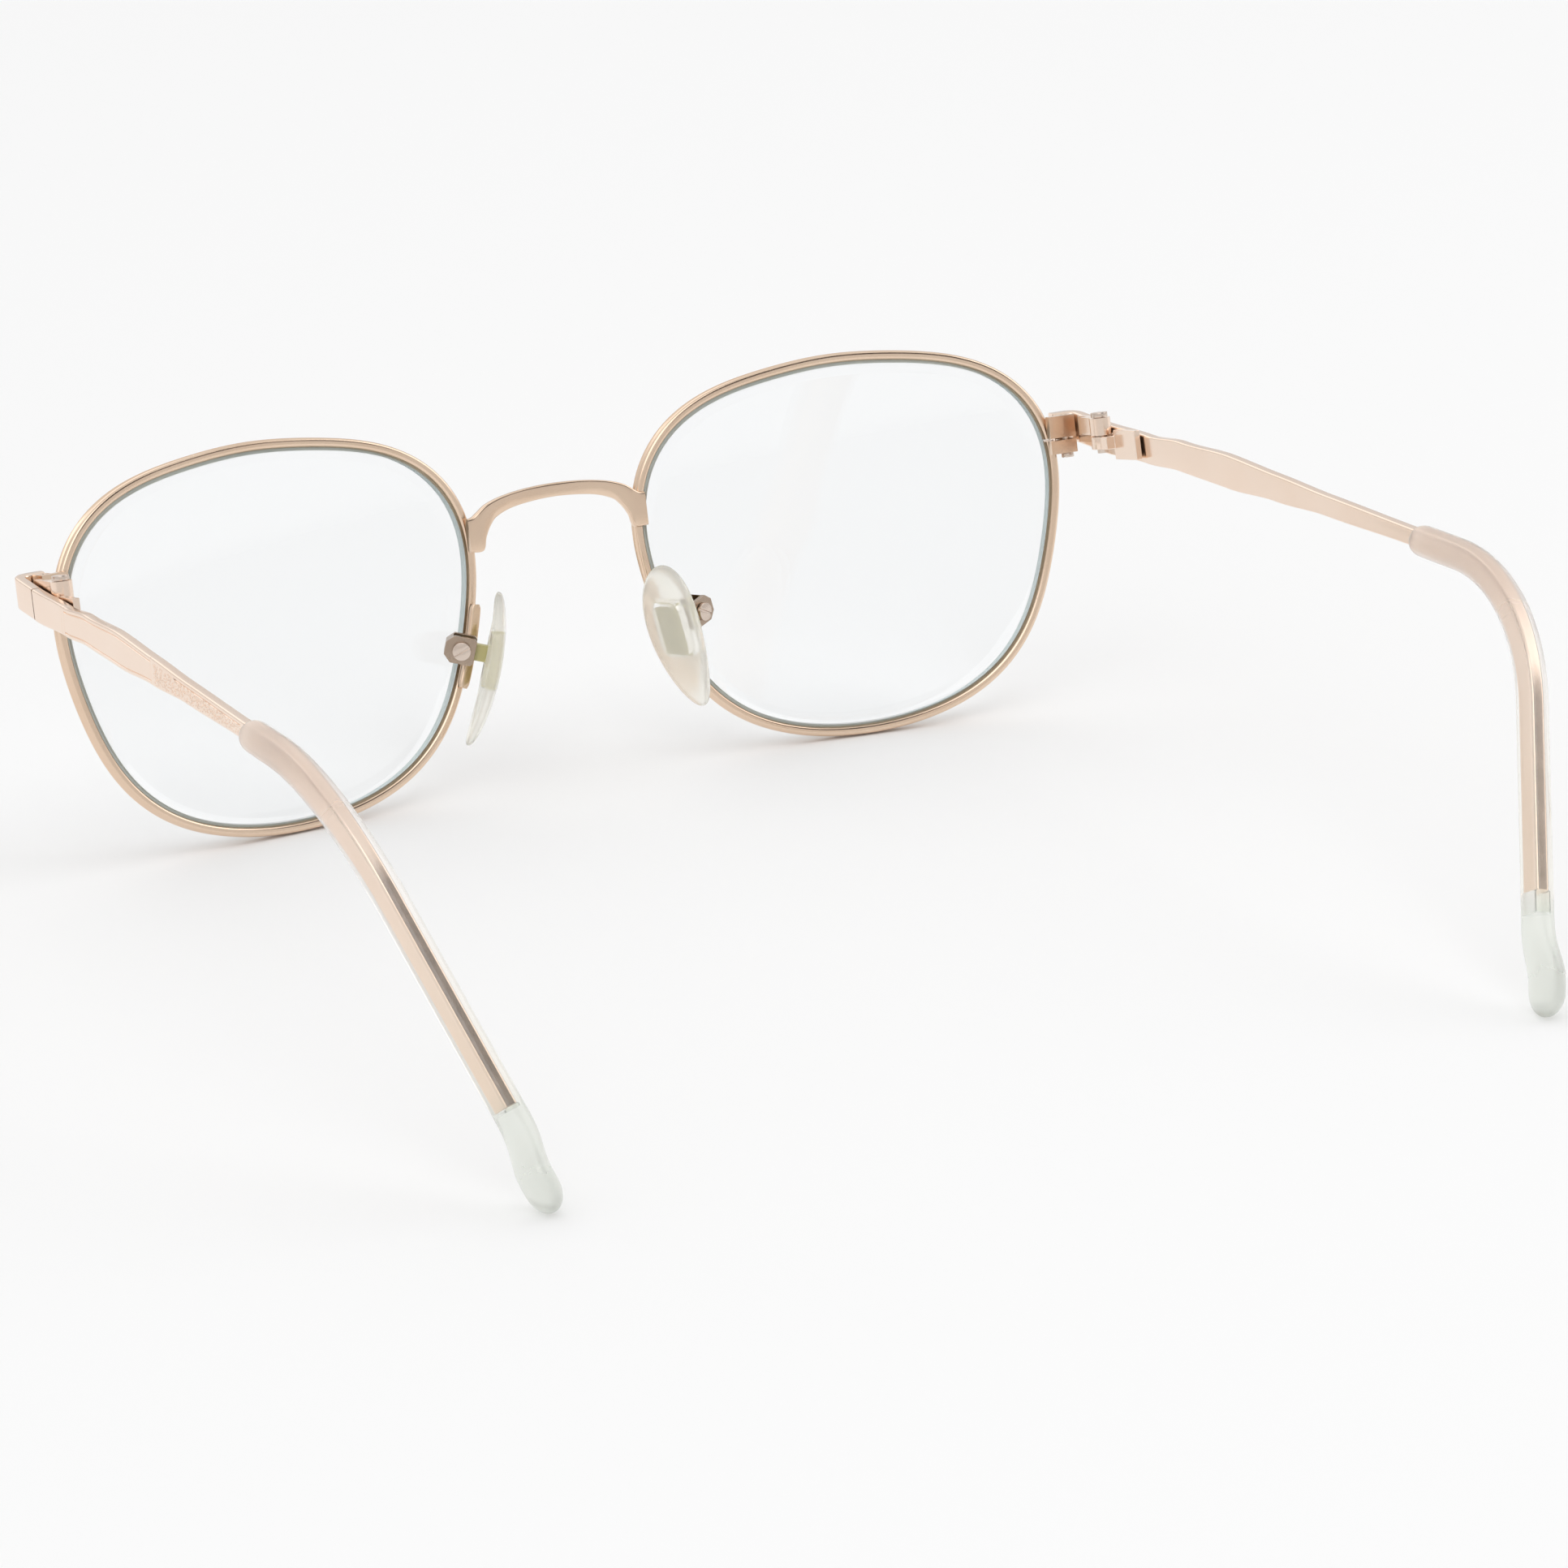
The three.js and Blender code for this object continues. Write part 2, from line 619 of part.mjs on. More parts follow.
// The pad arm, in the lens frame: a foot along the back of the rim's nasal side and a wire to the pad box.
function padArmGeometry(knee, boxFront) {
  const foot = swept(polygon([[-0.5, 0], [0.5, 0], [0.5, 1], [-0.5, 1]]), 6, (x, y, t) => {
    const height = THREE.MathUtils.lerp(padFoot.top, padFoot.bottom, t);
    const angle = Math.PI + Math.asin(-height / outlineWaves.radius) * 0.99;
    const edge = outlinePoint(angle, x * padFoot.wide);
    return facePoint(edge.x, edge.y, rim.depth + solderGap + y * padFoot.thick);
  });
  const middle = (padFoot.top + padFoot.bottom) / 2;
  const root = outlinePoint(Math.PI + Math.asin(-middle / outlineWaves.radius));
  const start = facePoint(root.x, root.y, rim.depth + solderGap + padFoot.thick * 0.5);
  const rise = start.clone().add(new THREE.Vector3(0, padWire.rise, 0));
  const wire = new THREE.CubicBezierCurve3(start, rise, knee, boxFront);
  const section = roundSection(8, padWire.radius);
  const bent = mergeVertices(bare(new THREE.ExtrudeGeometry(section, { steps: 10, extrudePath: wire })), 1e-4);
  return joined(foot, facingOut(bent));
}

// ---- one half of the glasses, and the whole ----

function addHalf(front, word, mirror, coreTail) {
  const half = new THREE.Group();
  half.scale.x = mirror;
  front.add(half);

  const lensFrame = new THREE.Group();
  lensFrame.position.set(bridgeGap / 2 + lensHalfWidth * Math.cos(wrap), lensHalfWidth * Math.sin(wrap), 0);
  lensFrame.rotation.z = wrap;
  half.add(lensFrame);

  const endFrame = new THREE.Group();
  endFrame.position.set(corner.across, corner.back, corner.height);
  endFrame.rotation.z = -templeSplay;
  lensFrame.add(endFrame);

  const templeFrame = new THREE.Group();
  templeFrame.rotation.x = -templeDrop;
  endFrame.add(templeFrame);

  const padFrame = new THREE.Group();
  padFrame.position.set(padPlace.across, padPlace.back, padPlace.height);
  padFrame.rotation.set(padTurn.rake, padTurn.flare, padTurn.splay, "ZXY");
  half.add(padFrame);

  half.updateMatrixWorld(true);
  const padToLens = (x, y, z) => lensFrame.worldToLocal(padFrame.localToWorld(new THREE.Vector3(x, y, z)));
  const armEnd = padToLens(padBox.pinAcross + 0.3, -padBox.halfWidth - 0.3, padBox.height - 0.3);
  const armKnee = padToLens(padBox.pinAcross + 0.3, -padBox.halfWidth - padWire.lead, padBox.height - 0.3);

  lensFrame.add(
    piece("rim_" + word, rimGeometry(), roseGold),
    piece("lens_" + word, lensGeometry(), lensClear),
    piece("upper_closing_block_" + word, blockGeometry(1), roseGold),
    piece("lower_closing_block_" + word, blockGeometry(-1), roseGold),
    piece("closing_screw_" + word, closingScrewGeometry(), screwMetal),
    piece("pad_arm_" + word, padArmGeometry(armKnee, armEnd), roseGold),
  );
  endFrame.add(
    piece("end_piece_" + word, endPieceGeometry(), roseGold),
    piece("front_hinge_" + word, frontHingeGeometry(), roseGold),
    piece("hinge_screw_" + word, hingeScrewGeometry(), screwMetal),
    piece("temple_hinge_" + word, templeHingeGeometry(), roseGold),
  );
  templeFrame.add(
    piece("temple_" + word, templeGeometry(coreTail), roseGold),
    piece("temple_sleeve_" + word, sleeveGeometry(), sleeveClear),
  );
  padFrame.add(
    piece("pad_cushion_" + word, cushionGeometry(), siliconeClear),
    piece("pad_core_" + word, padCoreGeometry(), corePlastic),
    piece("pad_box_" + word, padBoxGeometry(), roseGold),
    piece("pad_screw_" + word, padScrewGeometry(), screwMetal),
  );
}

const group = new THREE.Group();
const front = new THREE.Group();
front.rotation.x = frontTilt;
front.position.set(0, frontBack, lensHeight);
group.add(front);
front.add(piece("bridge", bridgeGeometry(), roseGold));
addHalf(front, "left", 1, core.tailLeft);
addHalf(front, "right", -1, core.tailRight);

export default group;
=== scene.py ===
import json
import math

import bmesh
import bpy
from mathutils import Matrix, Vector


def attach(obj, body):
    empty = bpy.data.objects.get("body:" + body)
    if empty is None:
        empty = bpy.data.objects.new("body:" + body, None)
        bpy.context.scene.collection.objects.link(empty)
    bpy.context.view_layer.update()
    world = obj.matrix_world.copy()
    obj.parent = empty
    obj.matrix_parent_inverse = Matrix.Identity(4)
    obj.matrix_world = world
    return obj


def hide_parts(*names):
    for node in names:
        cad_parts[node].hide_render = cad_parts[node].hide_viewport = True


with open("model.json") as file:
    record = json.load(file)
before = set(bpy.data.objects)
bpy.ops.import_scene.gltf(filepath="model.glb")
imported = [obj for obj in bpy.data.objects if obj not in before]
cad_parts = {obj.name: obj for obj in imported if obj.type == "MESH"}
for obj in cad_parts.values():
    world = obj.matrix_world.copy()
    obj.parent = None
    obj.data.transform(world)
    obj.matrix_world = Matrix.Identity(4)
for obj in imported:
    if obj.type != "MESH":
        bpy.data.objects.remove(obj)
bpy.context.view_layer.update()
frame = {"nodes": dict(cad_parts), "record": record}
nodes = frame["nodes"]
bodyOf = {n: body for body, names in frame["record"]["behaviour"]["bodies"].items() for n in names}
print("frame loaded:", len(nodes), "nodes")

mm = 0.001
sides = {"left": 1, "right": -1}      # the wearer's left is +X

# Where each half's own frames stand, in millimetres and degrees.
stance = {"height": 20.55, "back": -59.42, "tilt": 13.85}
face = {"halfWidth": 25, "gap": 21, "wrap": 5, "curveRadius": 130}
corner = {"across": 29.3, "back": 1.05, "height": 10.6, "splay": 7.42, "drop": 10.2}
padPlace = {"across": 12.1, "back": 7.1, "height": -7.4, "splay": -24.4, "rake": -4.5, "flare": -18.2}


def turned(degrees, axis):
    return Matrix.Rotation(math.radians(degrees), 4, axis)


def halfFrames(mirror):
    front = Matrix.Scale(mm, 4) @ Matrix.Translation((0, stance["back"], stance["height"]))
    front = front @ turned(stance["tilt"], "X")
    half = front @ Matrix.Diagonal((mirror, 1, 1, 1))
    wrap = math.radians(face["wrap"])
    reach = face["halfWidth"]
    lensMiddle = (face["gap"] / 2 + reach * math.cos(wrap), reach * math.sin(wrap), 0)
    lensFrame = half @ Matrix.Translation(lensMiddle) @ turned(face["wrap"], "Z")
    cornerPoint = (corner["across"], corner["back"], corner["height"])
    endFrame = lensFrame @ Matrix.Translation(cornerPoint) @ turned(-corner["splay"], "Z")
    padPoint = (padPlace["across"], padPlace["back"], padPlace["height"])
    padFrame = half @ Matrix.Translation(padPoint) @ turned(padPlace["splay"], "Z")
    padFrame = padFrame @ turned(padPlace["rake"], "X") @ turned(padPlace["flare"], "Y")
    return {
        "front": front,
        "lens": lensFrame,
        "end": endFrame,
        "temple": endFrame @ turned(-corner["drop"], "X"),
        "pad": padFrame,
    }


# Small helpers.

def mix(a, b, t):
    return a + (b - a) * t


def clamp(t):
    return min(max(t, 0), 1)


def smoothStep(t):
    t = clamp(t)
    return t * t * (3 - 2 * t)


def evenSteps(start, end, widest):
    count = max(1, math.ceil((end - start) / widest - 1e-9))
    return [mix(start, end, i / count) for i in range(count)]


def roundedBox(halfWide, halfTall, radius, perCorner=4):
    # a section's points, from the outer side's foot round to the start
    points = []
    for cornerNumber, (sx, sy) in enumerate(((1, -1), (1, 1), (-1, 1), (-1, -1))):
        for i in range(perCorner + 1):
            angle = math.radians(-90 + 90 * cornerNumber + 90 * i / perCorner)
            x = sx * (halfWide - radius) + radius * math.cos(angle)
            y = sy * (halfTall - radius) + radius * math.sin(angle)
            points.append((x, y))
    return points


def shell(name, rings, place):
    # skins a list of equal rings of points and closes both ends
    points = [Vector(p) for ring in rings for p in ring]
    across = len(rings[0])
    faces = []
    for i in range(len(rings) - 1):
        a = i * across
        b = a + across
        for j in range(across):
            k = (j + 1) % across
            faces.append((a + j, a + k, b + k, b + j))
    faces.append(tuple(range(across)))
    faces.append(tuple(len(points) - across + j for j in range(across)))
    return meshObject(name, points, faces, place)


def meshObject(name, points, faces, place=Matrix.Identity(4)):
    mesh = bpy.data.meshes.new(name)
    mesh.from_pydata([place @ Vector(p) for p in points], [], faces)
    obj = bpy.data.objects.new(name, mesh)
    bpy.context.scene.collection.objects.link(obj)
    faceOut(mesh)
    return obj


def faceOut(mesh, merge=2e-7):
    work = bmesh.new()
    work.from_mesh(mesh)
    bmesh.ops.remove_doubles(work, verts=work.verts, dist=merge)
    bmesh.ops.recalc_face_normals(work, faces=work.faces)
    work.to_mesh(mesh)
    work.free()


def settle(obj, sharpAngle=38):
    # turns the live modifiers into plain mesh
    evaluated = obj.evaluated_get(bpy.context.evaluated_depsgraph_get())
    mesh = bpy.data.meshes.new_from_object(evaluated)
    obj.modifiers.clear()
    obj.data = mesh
    mesh.shade_smooth()
    mesh.set_sharp_from_angle(angle=math.radians(sharpAngle))
    return obj


def joinInto(target, *others):
    work = bmesh.new()
    for obj in (target, *others):
        work.from_mesh(obj.data)
    work.to_mesh(target.data)
    work.free()
    for obj in others:
        bpy.data.objects.remove(obj)
    return target


def finishPiece(obj, material, slot, *standsFor, body=None):
    if material:
        obj.data.materials.clear()
        obj.data.materials.append(material)
    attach(obj, body or bodyOf[standsFor[0]])
    if standsFor:
        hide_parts(*standsFor)
    return obj


easing = {"merge": 2e-6, "flatAngle": 1.5, "segments": 3, "fromAngle": 32, "sharpAngle": 50}


def softened(name, node, width):
    # a merged copy of a machined part, with its edges eased
    source = nodes[node].data
    work = bmesh.new()
    for v in source.vertices:
        work.verts.new(v.co)
    work.verts.ensure_lookup_table()
    for p in source.polygons:
        work.faces.new([work.verts[i] for i in p.vertices])
    bmesh.ops.remove_doubles(work, verts=work.verts, dist=easing["merge"])
    flat = math.radians(easing["flatAngle"])
    bmesh.ops.dissolve_limit(work, angle_limit=flat, verts=work.verts, edges=work.edges)
    mesh = bpy.data.meshes.new(name)
    work.to_mesh(mesh)
    work.free()
    obj = bpy.data.objects.new(name, mesh)
    bpy.context.scene.collection.objects.link(obj)
    bevel = obj.modifiers.new("easedEdges", "BEVEL")
    bevel.width = width * mm
    bevel.segments = easing["segments"]
    bevel.limit_method = "ANGLE"
    bevel.angle_limit = math.radians(easing["fromAngle"])
    even = obj.modifiers.new("evenShading", "WEIGHTED_NORMAL")
    even.keep_sharp = True
    mesh.shade_smooth()
    return settle(obj, easing["sharpAngle"])


# Helpers for nodes.

def newGroup(name, kind, inputs, outputs):
    tree = bpy.data.node_groups.new(name, kind)
    for label, socketType, value in inputs:
        socket = tree.interface.new_socket(name=label, in_out="INPUT", socket_type=socketType)
        if value is not None:
            socket.default_value = value
    for label, socketType in outputs:
        tree.interface.new_socket(name=label, in_out="OUTPUT", socket_type=socketType)
    return tree, tree.nodes.new("NodeGroupInput"), tree.nodes.new("NodeGroupOutput")


def addNode(tree, kind, inputs=None, **settings):
    node = tree.nodes.new(kind)
    for key, value in settings.items():
        setattr(node, key, value)
    for key, value in (inputs or {}).items():
        if isinstance(value, bpy.types.NodeSocket):
            tree.links.new(value, node.inputs[key])
        else:
            node.inputs[key].default_value = value
    return node


def calc(tree, operation, *values):
    node = addNode(tree, "ShaderNodeMath", dict(enumerate(values)), operation=operation)
    return node.outputs[0]


def nodesOn(obj, tree, **values):
    # puts a tree on an object and sets its inputs by their identifiers
    modifier = obj.modifiers.new(tree.name, "NODES")
    modifier.node_group = tree
    for item in tree.interface.items_tree:
        key = item.name.replace(" ", "")
        if item.in_out == "INPUT" and key in values:
            isFloat = item.socket_type == "NodeSocketFloat"
            modifier[item.identifier] = float(values[key]) if isFloat else values[key]
    return modifier


def endTree(tree, given, out, geometry):
    # every tree ends with real mesh and its material
    whole = addNode(tree, "GeometryNodeRealizeInstances", {"Geometry": geometry})
    painted = addNode(tree, "GeometryNodeSetMaterial", {
        "Geometry": whole.outputs[0], "Material": given.outputs["Material"]})
    tree.links.new(painted.outputs[0], out.inputs[0])


def emptyObject(name):
    obj = bpy.data.objects.new(name, bpy.data.meshes.new(name))
    bpy.context.scene.collection.objects.link(obj)
    return obj


# Materials.

def surfaceGrain():
    # slow colour drift, fine roughness change and fine bump, shared by metals and plastics
    tree, given, out = newGroup(
        "surfaceGrain", "ShaderNodeTree",
        [("Drift Scale", "NodeSocketFloat", 90), ("Grain Scale", "NodeSocketFloat", 2600),
         ("Roughness", "NodeSocketFloat", 0.2), ("Spread", "NodeSocketFloat", 0.1)],
        [("Drift", "NodeSocketFloat"), ("Roughness", "NodeSocketFloat"), ("Height", "NodeSocketFloat")],
    )
    where = addNode(tree, "ShaderNodeTexCoord").outputs["Object"]
    drift = addNode(tree, "ShaderNodeTexNoise", {
        "Vector": where, "Scale": given.outputs["Drift Scale"], "Detail": 2.0})
    grain = addNode(tree, "ShaderNodeTexNoise", {
        "Vector": where, "Scale": given.outputs["Grain Scale"], "Detail": 3.0, "Roughness": 0.6})
    wear = addNode(tree, "ShaderNodeTexNoise", {
        "Vector": where, "Scale": calc(tree, "MULTIPLY", given.outputs["Drift Scale"], 7.0), "Detail": 4.0})
    offset = calc(tree, "MULTIPLY", calc(tree, "SUBTRACT", wear.outputs[0], 0.5), given.outputs["Spread"])
    tree.links.new(calc(tree, "ADD", given.outputs["Roughness"], offset), out.inputs["Roughness"])
    tree.links.new(drift.outputs[0], out.inputs["Drift"])
    tree.links.new(grain.outputs[0], out.inputs["Height"])
    return tree


grainGroup = surfaceGrain()

finishes = {
    "roseGold": {"pale": (0.95, 0.79, 0.67), "deep": (0.90, 0.70, 0.56), "metallic": 1.0,
                 "roughness": 0.2, "spread": 0.12, "bump": 0.05},
    "rimGold": {"pale": (0.86, 0.68, 0.53), "deep": (0.77, 0.57, 0.42), "metallic": 1.0,
                "roughness": 0.22, "spread": 0.12, "bump": 0.05},
    "screwMetal": {"pale": (0.78, 0.68, 0.60), "deep": (0.62, 0.50, 0.42), "metallic": 1.0,
                   "roughness": 0.25, "spread": 0.15, "bump": 0.08},
    "boxMetal": {"pale": (0.50, 0.40, 0.32), "deep": (0.32, 0.24, 0.18), "metallic": 1.0,
                 "roughness": 0.28, "spread": 0.2, "bump": 0.08},
    "groundEdge": {"pale": (0.80, 0.87, 0.86), "deep": (0.68, 0.77, 0.77), "metallic": 0.0,
                   "roughness": 0.7, "spread": 0.1, "bump": 0.1},
    "corePlastic": {"pale": (0.62, 0.57, 0.28), "deep": (0.46, 0.41, 0.17), "metallic": 0.0,
                    "roughness": 0.4, "spread": 0.1, "bump": 0.04},
}


def opaqueFinish(name):
    f = finishes[name]
    material = bpy.data.materials.new(name)
    material.use_nodes = True
    tree = material.node_tree
    shader = tree.nodes["Principled BSDF"]
    grain = addNode(tree, "ShaderNodeGroup", node_tree=grainGroup)
    grain.inputs["Roughness"].default_value = f["roughness"]
    grain.inputs["Spread"].default_value = f["spread"]
    colour = addNode(tree, "ShaderNodeMix", data_type="RGBA")
    tree.links.new(grain.outputs["Drift"], colour.inputs[0])
    colour.inputs[6].default_value = (*f["pale"], 1)
    colour.inputs[7].default_value = (*f["deep"], 1)
    tree.links.new(colour.outputs[2], shader.inputs["Base Color"])
    tree.links.new(grain.outputs["Roughness"], shader.inputs["Roughness"])
    bump = addNode(tree, "ShaderNodeBump", {"Height": grain.outputs["Height"]})
    bump.inputs["Strength"].default_value = f["bump"]
    bump.inputs["Distance"].default_value = 0.00005
    tree.links.new(bump.outputs[0], shader.inputs["Normal"])
    shader.inputs["Metallic"].default_value = f["metallic"]
    return material


clearFinishes = {
    "lensGlass": {"colour": (0.98, 0.99, 0.995), "transmission": 1.0, "ior": 1.5, "roughness": 0.0,
                  "spread": 0.0, "shadowLets": 0.97},
    "silicone": {"colour": (0.99, 0.975, 0.92), "transmission": 0.72, "ior": 1.41, "roughness": 0.2,
                 "spread": 0.12, "shadowLets": 0.85},
    "sleevePlastic": {"colour": (0.97, 0.96, 0.93), "transmission": 0.86, "ior": 1.47, "roughness": 0.1,
                      "spread": 0.0, "shadowLets": 0.85},
}


def clearFinish(name):
    # glass that lets lamp light through, so that it throws only a faint shadow
    f = clearFinishes[name]
    material = bpy.data.materials.new(name)
    material.use_nodes = True
    tree = material.node_tree
    shader = tree.nodes["Principled BSDF"]
    shader.inputs["Transmission Weight"].default_value = f["transmission"]
    shader.inputs["IOR"].default_value = f["ior"]
    shader.inputs["Base Color"].default_value = (*f["colour"], 1)
    shader.inputs["Roughness"].default_value = f["roughness"]
    if f["spread"]:
        grain = addNode(tree, "ShaderNodeGroup", node_tree=grainGroup)
        grain.inputs["Roughness"].default_value = f["roughness"]
        grain.inputs["Spread"].default_value = f["spread"]
        tree.links.new(grain.outputs["Roughness"], shader.inputs["Roughness"])
    passing = addNode(tree, "ShaderNodeBsdfTransparent")
    passing.inputs["Color"].default_value = (*[f["shadowLets"]] * 3, 1)
    path = addNode(tree, "ShaderNodeLightPath")
    mixer = addNode(tree, "ShaderNodeMixShader")
    tree.links.new(path.outputs["Is Shadow Ray"], mixer.inputs[0])
    tree.links.new(shader.outputs[0], mixer.inputs[1])
    tree.links.new(passing.outputs[0], mixer.inputs[2])
    tree.links.new(mixer.outputs[0], tree.nodes["Material Output"].inputs["Surface"])
    return material


roseGold = opaqueFinish("roseGold")
rimGold = opaqueFinish("rimGold")
screwMetal = opaqueFinish("screwMetal")
boxMetal = opaqueFinish("boxMetal")
corePlastic = opaqueFinish("corePlastic")
lensGlass = clearFinish("lensGlass")
groundEdge = opaqueFinish("groundEdge")
silicone = clearFinish("silicone")


# Along the sleeve, from 0 at the collar to 1 at the paddle's tip.
sleeveLook = {
    "frost": [(0, 0.42), (0.22, 0.38), (0.5, 0.05), (0.78, 0.04), (0.85, 0.24), (1, 0.30)],
    "tint": [(0, (1.0, 0.985, 0.97)), (0.3, (1.0, 0.98, 0.965)), (0.8, (0.95, 0.94, 0.89)),
             (0.84, (0.86, 0.88, 0.83)), (1, (0.80, 0.82, 0.77))],
    "grainSpread": 0.03,
    "smoothest": 0.02,
}


def fillRamp(node, stops):
    elements = node.color_ramp.elements
    elements[0].color = stops[0][1]
    elements[1].color = stops[-1][1]
    for position, colour in stops[1:-1]:
        elements.new(position).color = colour


def sleeveFinish():
    # frosty near the collar, clear round the bend, milky in the solid paddle
    material = clearFinish("sleevePlastic")
    tree = material.node_tree
    shader = tree.nodes["Principled BSDF"]
    along = addNode(tree, "ShaderNodeAttribute", attribute_name="along")
    frost = addNode(tree, "ShaderNodeValToRGB", {"Fac": along.outputs["Fac"]})
    fillRamp(frost, [(position, (value, value, value, 1)) for position, value in sleeveLook["frost"]])
    tint = addNode(tree, "ShaderNodeValToRGB", {"Fac": along.outputs["Fac"]})
    fillRamp(tint, [(position, (*colour, 1)) for position, colour in sleeveLook["tint"]])
    grain = addNode(tree, "ShaderNodeGroup", node_tree=grainGroup)
    grain.inputs["Roughness"].default_value = 0.0
    grain.inputs["Spread"].default_value = sleeveLook["grainSpread"]
    rough = calc(tree, "ADD", frost.outputs[0], grain.outputs["Roughness"])
    tree.links.new(calc(tree, "MAXIMUM", rough, sleeveLook["smoothest"]), shader.inputs["Roughness"])
    tree.links.new(tint.outputs[0], shader.inputs["Base Color"])
    return material


sleevePlastic = sleeveFinish()
print("materials made")


# The rims: a grooved wire swept round the lens outline.

outline = {"radius": 23.25, "oval": 2.07, "pear": 0.96, "square": 0.57, "shoulder": 0.32, "flat": 0.21}
rim = {"inner": 0.5, "outer": 0.58, "depth": 0.8, "grooveDepth": 0.5, "lip": 0.32, "squareness": 0.65,
       "steps": 220}
split = {"height": 7.8, "gap": 0.3}
lens = {"halfThickness": 1, "edgeInset": 0.8, "ridgeInset": 0.4, "ridgeHalf": 0.28, "bevel": 0.12,
        "segments": 144, "faceShares": [0.04, 0.2, 0.4, 0.6, 0.8, 0.94, 0.985]}


def outlinePoint(angle, offset=0):
    def at(turn):
        o = outline
        radius = o["radius"] + o["oval"] * math.cos(2 * turn) + o["pear"] * math.sin(3 * turn)
        radius += o["shoulder"] * math.sin(5 * turn) - o["square"] * math.cos(4 * turn)
        radius -= o["flat"] * math.cos(6 * turn)
        return Vector((math.cos(turn), math.sin(turn))) * radius
    along = (at(angle + 1e-3) - at(angle - 1e-3)).normalized()
    return at(angle) + Vector((along.y, -along.x)) * offset


def facePoint(across, height, depth):
    sag = (across * across + height * height) / (2 * face["curveRadius"])
    return Vector((across, depth + sag, height))


def outlineAngleAt(height):
    low, high = 0, math.radians(60)
    for _ in range(40):
        middle = (low + high) / 2
        if outlinePoint(middle).y < height:
            low = middle
        else:
            high = middle
    return low


def rimTree():
    waves = [("Radius", 23.25), ("Oval", 2.0), ("Pear", 1.0), ("Square", 0.5), ("Shoulder", 0.3),
             ("Flat", 0.2)]
    sizes = [("Start", 0.3), ("End", 6.5), ("Curve Radius", 130), ("Half Wide", 0.54), ("Half Deep", 0.8),
             ("Shift", 0.04), ("Groove Depth", 0.5), ("Groove Lip", 0.32)]
    inputs = [(n, "NodeSocketFloat", v) for n, v in waves + sizes]
    inputs += [("Steps", "NodeSocketInt", 200), ("Material", "NodeSocketMaterial", None)]
    outputs = [("Geometry", "NodeSocketGeometry")]
    tree, given, out = newGroup("rimWire", "GeometryNodeTree", inputs, outputs)
    g = given.outputs
    line = addNode(tree, "GeometryNodeCurvePrimitiveLine", {"Start": (0, 0, 0), "End": (1, 0, 0)})
    path = addNode(tree, "GeometryNodeResampleCurve", {"Curve": line.outputs[0], "Count": g["Steps"]})
    share = addNode(tree, "GeometryNodeSplineParameter").outputs["Factor"]
    span = calc(tree, "SUBTRACT", g["End"], g["Start"])
    turn = calc(tree, "ADD", g["Start"], calc(tree, "MULTIPLY", span, share))

    def wave(kind, times, height):
        return calc(tree, "MULTIPLY", height, calc(tree, kind, calc(tree, "MULTIPLY", turn, times)))

    radius = calc(tree, "ADD", g["Radius"], wave("COSINE", 2.0, g["Oval"]))
    radius = calc(tree, "ADD", radius, wave("SINE", 3.0, g["Pear"]))
    radius = calc(tree, "SUBTRACT", radius, wave("COSINE", 4.0, g["Square"]))
    radius = calc(tree, "ADD", radius, wave("SINE", 5.0, g["Shoulder"]))
    radius = calc(tree, "SUBTRACT", radius, wave("COSINE", 6.0, g["Flat"]))
    radius = calc(tree, "ADD", radius, g["Shift"])
    across = calc(tree, "MULTIPLY", radius, calc(tree, "COSINE", turn))
    height = calc(tree, "MULTIPLY", radius, calc(tree, "SINE", turn))
    sag = calc(tree, "DIVIDE", calc(tree, "MULTIPLY", radius, radius),
               calc(tree, "MULTIPLY", g["Curve Radius"], 2.0))
    spot = addNode(tree, "ShaderNodeCombineXYZ", {"X": across, "Y": height, "Z": sag})
    ring = addNode(tree, "GeometryNodeSetPosition", {
        "Geometry": path.outputs[0], "Position": spot.outputs[0]})
    upright = addNode(tree, "GeometryNodeSetCurveNormal", {"Curve": ring.outputs[0]}, mode="Z_UP")

    # the wire's section: a rounded block with a V groove on the lens side
    circle = addNode(tree, "GeometryNodeCurvePrimitiveCircle", {"Resolution": 40, "Radius": 1.0})
    position = addNode(tree, "GeometryNodeInputPosition").outputs[0]
    place = addNode(tree, "ShaderNodeSeparateXYZ", {"Vector": position})

    def squared(value):
        size = calc(tree, "POWER", calc(tree, "ABSOLUTE", value), rim["squareness"])
        return calc(tree, "MULTIPLY", calc(tree, "SIGN", value), size)

    deep = calc(tree, "MULTIPLY", squared(place.outputs["Y"]), g["Half Deep"])
    wide = calc(tree, "MULTIPLY", squared(place.outputs["X"]), g["Half Wide"])
    fromMiddle = calc(tree, "DIVIDE", calc(tree, "ABSOLUTE", deep), g["Groove Lip"])
    inGroove = calc(tree, "SUBTRACT", 1.0, fromMiddle)
    lensSide = calc(tree, "GREATER_THAN", wide, 0.0)
    deepest = calc(tree, "MULTIPLY", lensSide, g["Groove Depth"])
    push = calc(tree, "MULTIPLY", calc(tree, "MAXIMUM", inGroove, 0.0), deepest)
    sectionSpot = addNode(tree, "ShaderNodeCombineXYZ", {"X": calc(tree, "SUBTRACT", wide, push), "Y": deep})
    section = addNode(tree, "GeometryNodeSetPosition", {
        "Geometry": circle.outputs[0], "Position": sectionSpot.outputs[0]})
    wire = addNode(tree, "GeometryNodeCurveToMesh", {
        "Curve": upright.outputs[0], "Profile Curve": section.outputs[0], "Fill Caps": True})
    endTree(tree, given, out, wire.outputs[0])
    return tree


rimWire = rimTree()
# the tree draws height along its own Y
lensAxes = Matrix(((1, 0, 0, 0), (0, 0, 1, 0), (0, 1, 0, 0), (0, 0, 0, 1)))


